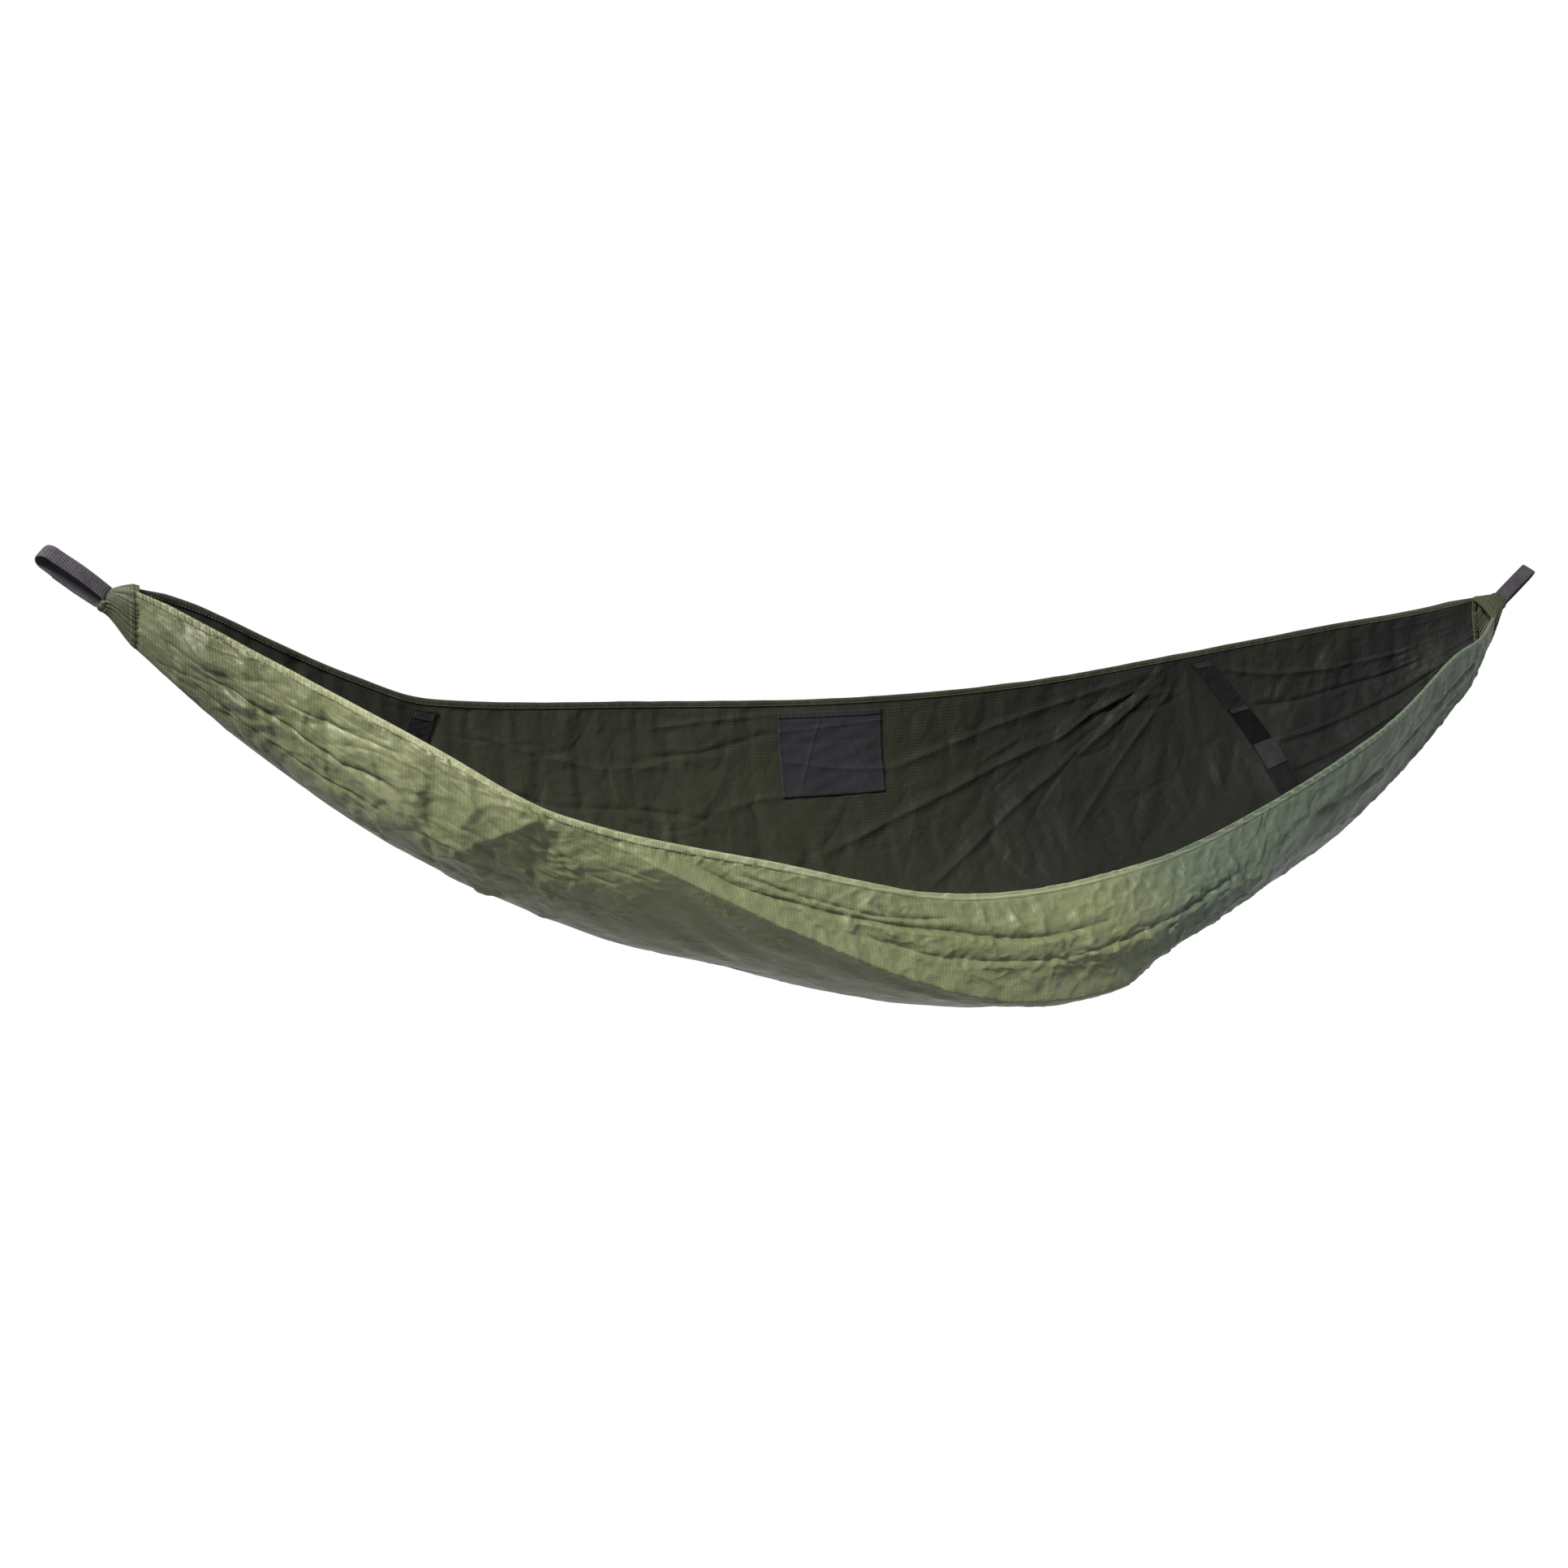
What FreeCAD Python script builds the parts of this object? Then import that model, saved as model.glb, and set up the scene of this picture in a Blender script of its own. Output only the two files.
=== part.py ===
"""Camping hammock hung by its two end loops: one STEP file per sewn piece, in millimetres.

The design frame has X along the hammock, Y from front to rear, Z up, and its origin midway
between the two gathered ends. Every piece is moved once, at export, so that the part's own
origin is the centre of the left carry eye, where the hammock hangs.
"""
import FreeCAD
import Part

import math
import os

Vector = FreeCAD.Vector

# ---------------------------------------------------------------- cloth bed
BED_HALF = 1167.0         # half length of the two cloth layers, up to the end channels
FABRIC = 2.0              # thickness that stands in for one layer with its wrinkles
LAYER_GAP = 1.2           # air between the outer and the inner layer

# The three rails that carry the cloth, as (x, y, z). The rims kink where the cross straps pull.
REAR_RIM = [(-1167, 24, 9), (-1080, 64, -23), (-990, 104, -69), (-880, 151, -121), (-760, 195, -163),
            (-400, 276, -183), (0, 300, -189), (350, 288, -168), (680, 237, -117), (950, 146, -64),
            (1080, 83, -38), (1167, 24, -10)]
FRONT_RIM = [(-1167, -24, 6), (-990, -103, -99), (-830, -177, -194), (-670, -225, -289),
             (-390, -272, -363), (-100, -292, -426), (200, -290, -402), (440, -268, -333),
             (740, -209, -222), (970, -127, -114), (1080, -78, -85), (1167, -24, -45)]
KEEL = [(-1167, 0, -70), (-1050, 0, -186), (-860, 0, -338), (-610, 0, -474), (-360, 0, -556),
        (-110, 0, -624), (120, 0, -621), (340, 0, -550), (620, 0, -478), (830, 0, -386),
        (1010, 0, -261), (1100, 0, -178), (1167, 0, -112)]
FRONT_BELLY = 0.34        # how far the slack front wall bulges past its rim, in half widths
BELLY_CENTRE = 130.0
BELLY_REACH = 760.0

HEM_WIDE = 5.0            # rolled hem, across the wall
HEM_TALL = 10.0           # rolled hem, along the wall
HEM_LIFT = 1.2            # from the cut edges up to the hem
LINING_DEPTH = 2 * FABRIC + LAYER_GAP   # from the outer face of the bed to the inner face

# ---------------------------------------------------------------- end loops
WEB_WIDE = 25.0
WEB_THICK = 2.4
EYE_R = 9.0               # inner radius of both round ends of a loop
LOOP_LONG = 73.0          # between the centres of a loop's two round ends
LOOP_RISE = math.radians(39.0)
LOOP_ROLL = math.radians(45.0)
LOOP_X = 1205.0           # centre of the round end that sits in the gather
LOOP_Z = {-1: -1.0, 1: -12.0}
LAP_LONG = 34.0           # where the webbing overlaps itself and is sewn shut
LAP_PLACE = 0.55          # its middle, as a share of the loop's length
LAP_MARGIN = 4.0          # from the lap's ends and edges to the box of thread
THREAD_BAR = 2.0          # width of each bar of the box
THREAD_PROUD = 0.7

# ---------------------------------------------------------------- end channels
SLEEVE_HALF = math.radians(50.0)   # half the angle the sleeve takes round the loop's bend
SLEEVE_WALL = 3.0
SLEEVE_PLAY = 0.6
SLOT_HALF = math.radians(89.0)     # half the angle kept free for the webbing
CORE_HOLE = 0.5           # radius left solid at the bend's own centre
FAR = 120.0               # farther than anything at the end of the bed
CHANNEL_START = 1168.0
CHANNEL_BACK = 8.5        # the gather stays this far behind the loop's pivot
CHANNEL_LONG = 34.0
CHANNEL_HALF_WIDE = (25.0, 19.0)
CHANNEL_TOP = 6.0
CHANNEL_BOTTOM = -32.0
GATHER_POINTS = 12        # round the gather's outline
SEAM_START = 3.0          # from the start of the channel
SEAM_WIDE = 6.0
SEAM_CLEAR = 1.0
SEAM_PROUD = 1.6

# ---------------------------------------------------------------- pocket
POCKET_X = -46.0
POCKET_WIDE = 200.0
POCKET_TALL = 150.0
POCKET_BELOW = 16.0       # under the rear rim
POCKET_GAP = 1.5
POCKET_THICK = 1.6
BINDING_TALL = 12.0
BINDING_THICK = 3.0

# ---------------------------------------------------------------- cross straps
STRAP_WIDE = 38.0
STRAP_THICK = 1.8
STRAP_GAP = 1.4           # over the inner layer
STRAPS = {"left": (-757.0, -55.0), "right": (682.0, 120.0)}   # place on the rear rim, lean
STRAP_LEAN_V = 0.6        # the lean is complete this far down the rear wall, as v
PILE_LONG = 112.0
ELASTIC_LONG = 78.0
TAB_LONG = 58.0
TAB_THICK = 2.2
JOIN_GAP = 0.5
TACK_LONG = 12.0
TACK_THICK = 1.6
TACK_INSET = 4.0          # from the end of the strap to its bar tack
NARROWER = 6.0            # a tack or seam is this much narrower than the strap
SEAM_LONG = 8.0           # of the seam, along the strap
SEAM_THICK = 1.2
RIM_CLEAR = 14.0          # from the rim down to the start of a strap

# points through which each surface is drawn
BED_STATIONS = 61
SECTION_POINTS = 25
POCKET_COLUMNS = 9
POCKET_ROWS = 7
STRAP_ROWS = 9
FRONT_STRAP_ROWS = 17
SHORT_ROWS = 3

# ---------------------------------------------------------------- how surfaces are made
V_STEP = 0.002            # how finely a distance along the section is measured
SEW_TOLERANCE = 0.01
SAME_WAY = 1              # ruled faces join edges that run the same way


def smooth_between(p0, p1, p2, p3, x, axis):
    """Catmull-Rom value of one coordinate between stations p1 and p2, with uneven spacing."""
    span = p2[0] - p1[0]
    t = (x - p1[0]) / span
    m1 = (p2[axis] - p0[axis]) / (p2[0] - p0[0]) * span
    m2 = (p3[axis] - p1[axis]) / (p3[0] - p1[0]) * span
    return ((2 * t ** 3 - 3 * t ** 2 + 1) * p1[axis] + (t ** 3 - 2 * t ** 2 + t) * m1
            + (-2 * t ** 3 + 3 * t ** 2) * p2[axis] + (t ** 3 - t ** 2) * m2)


def rail_at(rail, x):
    """(y, z) of a rail at x."""
    k = 0
    while k < len(rail) - 2 and x > rail[k + 1][0]:
        k += 1
    p1, p2 = rail[k], rail[k + 1]
    p0 = rail[k - 1] if k > 0 else p1
    p3 = rail[k + 2] if k + 2 < len(rail) else p2
    return smooth_between(p0, p1, p2, p3, x, 1), smooth_between(p0, p1, p2, p3, x, 2)


def bump(x, centre, reach):
    """1 at the centre, 0 beyond the reach, smooth between."""
    t = min(1.0, abs(x - centre) / reach)
    return (1 - t * t) ** 2


def wall_point(x, v):
    """Outer face of the bed. v runs from -1 at the front rim through the keel to 1 at the rear rim."""
    keel_y, keel_z = rail_at(KEEL, x)
    rim_y, rim_z = rail_at(REAR_RIM if v > 0 else FRONT_RIM, x)
    angle = abs(v) * math.pi / 2
    reach = math.sin(angle)
    if v < 0:
        reach += FRONT_BELLY * bump(x, BELLY_CENTRE, BELLY_REACH) * math.sin(2 * angle)
    return Vector(x, keel_y + (rim_y - keel_y) * reach, keel_z + (rim_z - keel_z) * (1 - math.cos(angle)))


def inward(x, v):
    """Unit vector from the wall into the bed, square to the section curve."""
    step = 0.01
    a = wall_point(x, max(-1.0, v - step))
    b = wall_point(x, min(1.0, v + step))
    along = (b - a).normalize()
    return Vector(0, -along.z, along.y)


def bed_point(x, v, depth):
    """A point at a given depth inside the outer face."""
    return wall_point(x, v) + inward(x, v) * depth


def distance_to_v(x, start_v, distance, way=-1):
    """The v that lies this far along the section from start_v. Way -1 runs towards the front rim."""
    v = start_v
    here = wall_point(x, v)
    while distance > 0 and abs(v + way * V_STEP) <= 1:
        there = wall_point(x, v + way * V_STEP)
        length = there.distanceToPoint(here)
        v += way * V_STEP * min(1.0, distance / length)
        distance -= length
        here = there
    return v


def spline_face(grid):
    """A smooth surface through a grid of points."""
    surface = Part.BSplineSurface()
    surface.interpolate(grid)
    return surface


def boundary(surface):
    """The four edges of a surface, in the order u0, u1, v0, v1."""
    u0, u1, v0, v1 = surface.bounds()
    return [surface.uIso(u0).toShape(), surface.uIso(u1).toShape(),
            surface.vIso(v0).toShape(), surface.vIso(v1).toShape()]


def slab(outer_grid, inner_grid):
    """A closed solid between two grids of points of the same size."""
    outer, inner = spline_face(outer_grid), spline_face(inner_grid)
    faces = [outer.toShape(), inner.toShape()]
    for a, b in zip(boundary(outer), boundary(inner)):
        faces.append(Part.makeRuledSurface(a, b, SAME_WAY))
    skin = Part.makeCompound(faces)
    skin.sewShape(SEW_TOLERANCE)
    solid = Part.Solid(skin.Shells[0])
    if solid.Volume < 0:
        solid.reverse()
    return solid


def spread(low, high, count):
    """Evenly spaced values, both ends included."""
    return [low + (high - low) * i / (count - 1) for i in range(count)]


def bed_layer(depth, thickness):
    """One whole layer of cloth, from end to end and rim to rim."""
    xs = spread(-BED_HALF, BED_HALF, BED_STATIONS)
    vs = spread(-1.0, 1.0, SECTION_POINTS)
    near = [[bed_point(x, v, depth) for v in vs] for x in xs]
    far = [[bed_point(x, v, depth + thickness) for v in vs] for x in xs]
    return slab(near, far)


def rim_hem(side):
    """Rolled hem along one rim, standing on the cut edges of both layers."""
    middle = FABRIC + LAYER_GAP / 2
    xs = spread(-BED_HALF, BED_HALF, BED_STATIONS)

    def corner(x, across, up):
        return bed_point(x, side, middle + across) + Vector(0, 0, up)

    near = [[corner(x, -HEM_WIDE / 2, up) for up in (HEM_LIFT, HEM_LIFT + HEM_TALL)] for x in xs]
    far = [[corner(x, HEM_WIDE / 2, up) for up in (HEM_LIFT, HEM_LIFT + HEM_TALL)] for x in xs]
    return slab(near, far)


def outer_shell():
    return bed_layer(0.0, FABRIC)


def inner_shell():
    return bed_layer(FABRIC + LAYER_GAP, FABRIC)


# ---------------------------------------------------------------- loops and channels
class EndFrame:
    """Directions at one end: out along the loop, wide across the webbing, flat off its face."""

    def __init__(self, sign):
        self.sign = sign
        self.pivot = Vector(sign * LOOP_X, 0, LOOP_Z[sign])
        self.out = Vector(sign * math.cos(LOOP_RISE), 0, math.sin(LOOP_RISE))
        lift = Vector(-sign * math.sin(LOOP_RISE), 0, math.cos(LOOP_RISE))
        front = Vector(0, -1, 0)
        self.flat = front * math.cos(LOOP_ROLL) + lift * math.sin(LOOP_ROLL)
        self.wide = lift * math.cos(LOOP_ROLL) - front * math.sin(LOOP_ROLL)
        self.eye = self.pivot + self.out * LOOP_LONG

    def place(self, along, off, across):
        return self.pivot + self.out * along + self.flat * off + self.wide * across

    def extrude(self, wire, wide):
        """A wire drawn in the loop's plane, made into a solid centred across the webbing."""
        face = Part.Face(wire)
        face.translate(self.wide * (-wide / 2))
        return face.extrude(self.wide * wide)

    def stadium(self, radius, long):
        """Closed outline of two half circles joined by straight legs."""
        a, b = self.place(0, radius, 0), self.place(long, radius, 0)
        c, d = self.place(long, -radius, 0), self.place(0, -radius, 0)
        tip, tail = self.place(long + radius, 0, 0), self.place(-radius, 0, 0)
        edges = [Part.LineSegment(a, b).toShape(), Part.Arc(b, tip, c).toShape(),
                 Part.LineSegment(c, d).toShape(), Part.Arc(d, tail, a).toShape()]
        return Part.Wire(edges)

    def sector(self, r_in, r_out, half_angle, wide):
        """Ring sector about the pivot, centred on the side that faces the bed."""
        def at(radius, angle):
            return self.place(-radius * math.cos(angle), radius * math.sin(angle), 0)
        edges = [Part.Arc(at(r_in, -half_angle), at(r_in, 0), at(r_in, half_angle)).toShape(),
                 Part.LineSegment(at(r_in, half_angle), at(r_out, half_angle)).toShape(),
                 Part.Arc(at(r_out, half_angle), at(r_out, 0), at(r_out, -half_angle)).toShape(),
                 Part.LineSegment(at(r_out, -half_angle), at(r_in, -half_angle)).toShape()]
        return self.extrude(Part.Wire(edges), wide)


def webbing_loop(end):
    """Endless band of webbing with a round eye at each end."""
    outside = end.extrude(end.stadium(EYE_R + WEB_THICK, LOOP_LONG), WEB_WIDE)
    inside = end.extrude(end.stadium(EYE_R, LOOP_LONG), WEB_WIDE + 2)
    return outside.cut(inside)


def box_in(end, along0, along1, off0, off1, wide):
    """Block in the loop's own directions."""
    corners = [end.place(along0, off0, 0), end.place(along1, off0, 0),
               end.place(along1, off1, 0), end.place(along0, off1, 0)]
    return end.extrude(Part.makePolygon(corners + corners[:1]), wide)


def loop_lap(end):
    """The second thickness of webbing where the band is closed, on the rear leg's outer face."""
    base = EYE_R + WEB_THICK
    middle = LOOP_LONG * LAP_PLACE
    return box_in(end, middle - LAP_LONG / 2, middle + LAP_LONG / 2, -base, -base - WEB_THICK, WEB_WIDE)


def lap_stitching(end):
    """Box of thread over the lap: four bars joined at their corners."""
    base = -(EYE_R + 2 * WEB_THICK)
    middle = LOOP_LONG * LAP_PLACE
    half = LAP_LONG / 2 - LAP_MARGIN
    wide = WEB_WIDE - 2 * LAP_MARGIN
    inner_half = half - THREAD_BAR
    outside = box_in(end, middle - half, middle + half, base, base - THREAD_PROUD, wide)
    inside = box_in(end, middle - inner_half, middle + inner_half, base + THREAD_PROUD,
                    base - 2 * THREAD_PROUD, wide - 2 * THREAD_BAR)
    return outside.cut(inside)


def gather_size(end, x):
    """Half width, top and bottom of the bunched cloth at a distance x from the middle."""
    t = (x - CHANNEL_START) / CHANNEL_LONG
    edge = end.sign * BED_HALF
    top0 = (rail_at(REAR_RIM, edge)[1] + rail_at(FRONT_RIM, edge)[1]) / 2
    bottom0 = rail_at(KEEL, edge)[1]
    half = CHANNEL_HALF_WIDE[0] + (CHANNEL_HALF_WIDE[1] - CHANNEL_HALF_WIDE[0]) * t
    return half, top0 + (CHANNEL_TOP - top0) * t, bottom0 + (CHANNEL_BOTTOM - bottom0) * t


def gather_section(end, x, grow=0.0):
    """Rounded outline of the bunched cloth, grown all round by a set amount."""
    half, top, bottom = gather_size(end, x)
    points = []
    for i in range(GATHER_POINTS):
        a = 2 * math.pi * i / GATHER_POINTS
        y = (half + grow) * math.cos(a)
        z = (top + bottom) / 2 + ((top - bottom) / 2 + grow) * math.sin(a)
        points.append(Vector(end.sign * x, y, z))
    curve = Part.BSplineCurve()
    curve.interpolate(Points=points, PeriodicFlag=True)
    return Part.Wire([curve.toShape()])


def gather_solid(end, x0, x1, grow=0.0):
    """The bunched cloth between two places along the hammock."""
    return Part.makeLoft([gather_section(end, x0, grow), gather_section(end, x1, grow)], True, True)


def end_channel(end):
    """Bunched channel that holds the loop: a tapering gather with a sleeve round the webbing."""
    gather = gather_solid(end, CHANNEL_START, CHANNEL_START + CHANNEL_LONG)
    outer_r = EYE_R + WEB_THICK + SLEEVE_PLAY + SLEEVE_WALL
    inner_r = EYE_R - SLEEVE_PLAY - SLEEVE_WALL
    sleeve = end.sector(inner_r, outer_r, SLEEVE_HALF, WEB_WIDE + 2 * (SLEEVE_WALL + SLEEVE_PLAY))
    keep_out = box_in(end, -CHANNEL_BACK, FAR, -FAR, FAR, 2 * FAR)
    wide_play = WEB_WIDE + 2 * SLEEVE_PLAY
    slot = end.sector(EYE_R - SLEEVE_PLAY, EYE_R + WEB_THICK + SLEEVE_PLAY, SLOT_HALF, wide_play)
    core = end.sector(CORE_HOLE, EYE_R - SLEEVE_PLAY, SLOT_HALF, wide_play)
    return gather.cut(keep_out).cut(core).fuse(sleeve).cut(slot).removeSplitter()


def channel_seam(end):
    """Stitched band round the neck of the gather, where the channel is sewn down."""
    x0 = CHANNEL_START + SEAM_START
    x1 = x0 + SEAM_WIDE
    return gather_solid(end, x0, x1, SEAM_CLEAR + SEAM_PROUD).cut(gather_solid(end, x0, x1, SEAM_CLEAR))


# ---------------------------------------------------------------- pocket
def pocket_sheet(start, tall, rows, depth, thickness):
    """A patch of cloth on the rear wall, starting this far below the rim."""
    near, far = [], []
    for x in spread(POCKET_X - POCKET_WIDE / 2, POCKET_X + POCKET_WIDE / 2, POCKET_COLUMNS):
        vs = [distance_to_v(x, 1.0, down) for down in spread(start, start + tall, rows)]
        near.append([bed_point(x, v, depth) for v in vs])
        far.append([bed_point(x, v, depth + thickness) for v in vs])
    return slab(near, far)


def pocket_panel():
    start = POCKET_BELOW + BINDING_TALL + JOIN_GAP
    tall = POCKET_TALL - BINDING_TALL - JOIN_GAP
    return pocket_sheet(start, tall, POCKET_ROWS, LINING_DEPTH + POCKET_GAP, POCKET_THICK)


def pocket_binding():
    depth = LINING_DEPTH + POCKET_GAP - (BINDING_THICK - POCKET_THICK) / 2
    return pocket_sheet(POCKET_BELOW, BINDING_TALL, SHORT_ROWS, depth, BINDING_THICK)


# ---------------------------------------------------------------- cross straps
def strap_x(name, v):
    """A strap leans towards its own end of the hammock as it comes down the rear wall."""
    x, lean = STRAPS[name]
    t = min(1.0, (1 - v) / STRAP_LEAN_V)
    return x + lean * t * (2 - t)


def strap_piece(name, v0, v1, depth, thickness, rows=STRAP_ROWS, wide=STRAP_WIDE):
    """A length of strap between two places on the section."""
    near, far = [], []
    for side in (-0.5, 0.0, 0.5):
        line = [(strap_x(name, v) + side * wide, v) for v in spread(v0, v1, rows)]
        near.append([bed_point(x, v, depth) for x, v in line])
        far.append([bed_point(x, v, depth + thickness) for x, v in line])
    return slab(near, far)


def strap_stations(name):
    """Places along a strap, as v: rim, pile end, elastic end, tab end, front rim."""
    def onward(v, distance):
        return distance_to_v(strap_x(name, v), v, distance)
    top = onward(1.0, RIM_CLEAR)
    pile_end = onward(top, PILE_LONG)
    elastic_start = onward(pile_end, JOIN_GAP)
    elastic_end = onward(elastic_start, ELASTIC_LONG)
    tab_start = onward(elastic_end, JOIN_GAP)
    tab_end = onward(tab_start, TAB_LONG)
    last = distance_to_v(strap_x(name, -1.0), -1.0, RIM_CLEAR, 1)
    return top, pile_end, elastic_start, elastic_end, tab_start, tab_end, last


def tab_hinge(name):
    """The two ends of the line about which a hook tab is peeled: its sewn edge, at mid thickness."""
    start = strap_stations(name)[4]
    depth = LINING_DEPTH + STRAP_GAP + STRAP_THICK + JOIN_GAP + TAB_THICK / 2
    x = strap_x(name, start)
    return bed_point(x - STRAP_WIDE / 2, start, depth), bed_point(x + STRAP_WIDE / 2, start, depth)


def strap_nodes(name):
    """Every piece of one cross strap."""
    depth = LINING_DEPTH + STRAP_GAP
    top, pile_end, elastic_start, elastic_end, tab_start, tab_end, last = strap_stations(name)
    over = depth + STRAP_THICK + JOIN_GAP
    tack_top = distance_to_v(strap_x(name, top), top, TACK_INSET)
    tack_low = distance_to_v(strap_x(name, top), tack_top, TACK_LONG)
    front_low = distance_to_v(strap_x(name, last), last, TACK_INSET, 1)
    front_top = distance_to_v(strap_x(name, last), front_low, TACK_LONG, 1)
    seam_top = distance_to_v(strap_x(name, pile_end), pile_end, 1.0, 1)
    seam_low = distance_to_v(strap_x(name, pile_end), pile_end, SEAM_LONG)
    front_start = distance_to_v(strap_x(name, elastic_end), elastic_end, JOIN_GAP)
    narrow = STRAP_WIDE - NARROWER
    return {
        f"{name}_strap_pile": strap_piece(name, top, pile_end, depth, STRAP_THICK),
        f"{name}_strap_elastic": strap_piece(name, elastic_start, elastic_end, depth, STRAP_THICK),
        f"{name}_strap_front": strap_piece(name, front_start, last, depth, STRAP_THICK, FRONT_STRAP_ROWS),
        f"{name}_strap_hook_tab": strap_piece(name, tab_start, tab_end, over, TAB_THICK),
        f"{name}_strap_seam": strap_piece(name, seam_top, seam_low, over, SEAM_THICK, SHORT_ROWS, narrow),
        f"{name}_strap_rear_tack": strap_piece(name, tack_top, tack_low, over, TACK_THICK,
                                               SHORT_ROWS, narrow),
        f"{name}_strap_front_tack": strap_piece(name, front_top, front_low, over, TACK_THICK,
                                                SHORT_ROWS, narrow),
    }


def build():
    left, right = EndFrame(-1), EndFrame(1)
    nodes = {
        "outer_shell": outer_shell(),
        "inner_shell": inner_shell(),
        "rear_rim_hem": rim_hem(1.0),
        "front_rim_hem": rim_hem(-1.0),
        "pocket_panel": pocket_panel(),
        "pocket_binding": pocket_binding(),
    }
    for name, end in (("left", left), ("right", right)):
        nodes[f"{name}_end_channel"] = end_channel(end)
        nodes[f"{name}_channel_seam"] = channel_seam(end)
        nodes[f"{name}_webbing_loop"] = webbing_loop(end)
        nodes[f"{name}_loop_lap"] = loop_lap(end)
        nodes[f"{name}_lap_stitching"] = lap_stitching(end)
    for name in STRAPS:
        nodes.update(strap_nodes(name))
    os.makedirs("parts", exist_ok=True)
    for node, shape in nodes.items():
        moved = shape.copy()
        moved.translate(left.eye * -1)
        moved.exportStep(f"parts/{node}.step")
        print(f"{node:26s} valid {moved.isValid()} solids {len(moved.Solids)} volume {moved.Volume:.0f}")
    return nodes, left, right


build()
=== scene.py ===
import math

import bpy
import numpy as np
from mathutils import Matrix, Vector


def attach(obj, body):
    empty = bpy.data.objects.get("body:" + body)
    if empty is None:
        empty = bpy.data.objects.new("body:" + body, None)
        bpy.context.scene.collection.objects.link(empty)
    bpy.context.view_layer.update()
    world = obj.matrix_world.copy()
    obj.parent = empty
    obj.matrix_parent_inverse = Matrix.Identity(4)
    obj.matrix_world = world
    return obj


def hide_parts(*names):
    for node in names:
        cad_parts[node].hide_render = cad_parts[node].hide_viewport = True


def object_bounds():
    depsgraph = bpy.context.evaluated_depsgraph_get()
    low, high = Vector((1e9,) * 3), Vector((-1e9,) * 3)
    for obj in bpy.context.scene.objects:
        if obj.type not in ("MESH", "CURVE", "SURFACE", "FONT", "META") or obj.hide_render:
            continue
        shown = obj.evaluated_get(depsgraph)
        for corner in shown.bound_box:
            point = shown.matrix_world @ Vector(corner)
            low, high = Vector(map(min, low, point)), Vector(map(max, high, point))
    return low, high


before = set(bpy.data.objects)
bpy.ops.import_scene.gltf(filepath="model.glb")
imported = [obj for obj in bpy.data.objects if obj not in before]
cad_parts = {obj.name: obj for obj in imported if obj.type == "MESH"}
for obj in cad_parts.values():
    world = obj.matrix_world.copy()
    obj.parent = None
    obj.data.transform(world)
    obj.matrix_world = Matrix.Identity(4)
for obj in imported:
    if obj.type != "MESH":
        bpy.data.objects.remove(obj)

CAD_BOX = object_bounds()
MM = 0.001

# ================================================================ camera
camera_data = bpy.data.cameras.new("camera")
camera_data.lens = 36.0
camera_data.sensor_width = 36.0
camera_data.clip_end = 60.0
camera = bpy.data.objects.new("camera", camera_data)
bpy.context.scene.collection.objects.link(camera)
CAMERA_AT = Vector((0.0658, -2.1941, -0.0345))
CAMERA_TO = Vector((1.0042, 0.0, -0.3355))
camera.location = CAMERA_AT
camera.rotation_euler = (CAMERA_TO - CAMERA_AT).to_track_quat("-Z", "Y").to_euler()
bpy.context.scene.camera = camera

# ================================================================ shape of the bed, in millimetres
# Design frame: X along the hammock from its middle, Y to the rear, Z up. Row frame: origin at the left eye.
REAR_RIM = [(-1167, 24, 9), (-1080, 64, -23), (-990, 104, -69), (-880, 151, -121), (-760, 195, -163),
            (-400, 276, -183), (0, 300, -189), (350, 288, -168), (680, 237, -117), (950, 146, -64),
            (1080, 83, -38), (1167, 24, -10)]
FRONT_RIM = [(-1167, -24, 6), (-990, -103, -99), (-830, -177, -194), (-670, -225, -289),
             (-390, -272, -363), (-100, -292, -426), (200, -290, -402), (440, -268, -333),
             (740, -209, -222), (970, -127, -114), (1080, -78, -85), (1167, -24, -45)]
KEEL = [(-1167, 0, -70), (-1050, 0, -186), (-860, 0, -338), (-610, 0, -474), (-360, 0, -556),
        (-110, 0, -624), (120, 0, -621), (340, 0, -550), (620, 0, -478), (830, 0, -386),
        (1010, 0, -261), (1100, 0, -178), (1167, 0, -112)]
BED_HALF = 1167.0
FRONT_BELLY = 0.34
BELLY_CENTRE = 130.0
BELLY_REACH = 760.0
LOOP_X = 1205.0
LOOP_Z = {-1: -1.0, 1: -12.0}
LOOP_LONG = 73.0
LOOP_RISE = math.radians(39.0)
LOOP_ROLL = math.radians(45.0)
EYE_R = 9.0
WEB_WIDE = 25.0
WEB_THICK = 2.4
TIP_POINT = 1.25          # how far the loop's tip is drawn out, as a share of a round one
RIB = 3.0
CLOTH_THICK = 0.8
LINING_IN = 5.2           # depth of the lining's inner face under the outer one
HALF_CUT = 580.0          # half width of the cloth in the middle, along the section
ORIGIN = np.array([-LOOP_X - LOOP_LONG * math.cos(LOOP_RISE), 0.0,
                   LOOP_Z[-1] + LOOP_LONG * math.sin(LOOP_RISE)])


def to_row(points):
    """Design millimetres to the row frame's metres."""
    return (np.asarray(points, float) - ORIGIN) * MM


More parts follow.
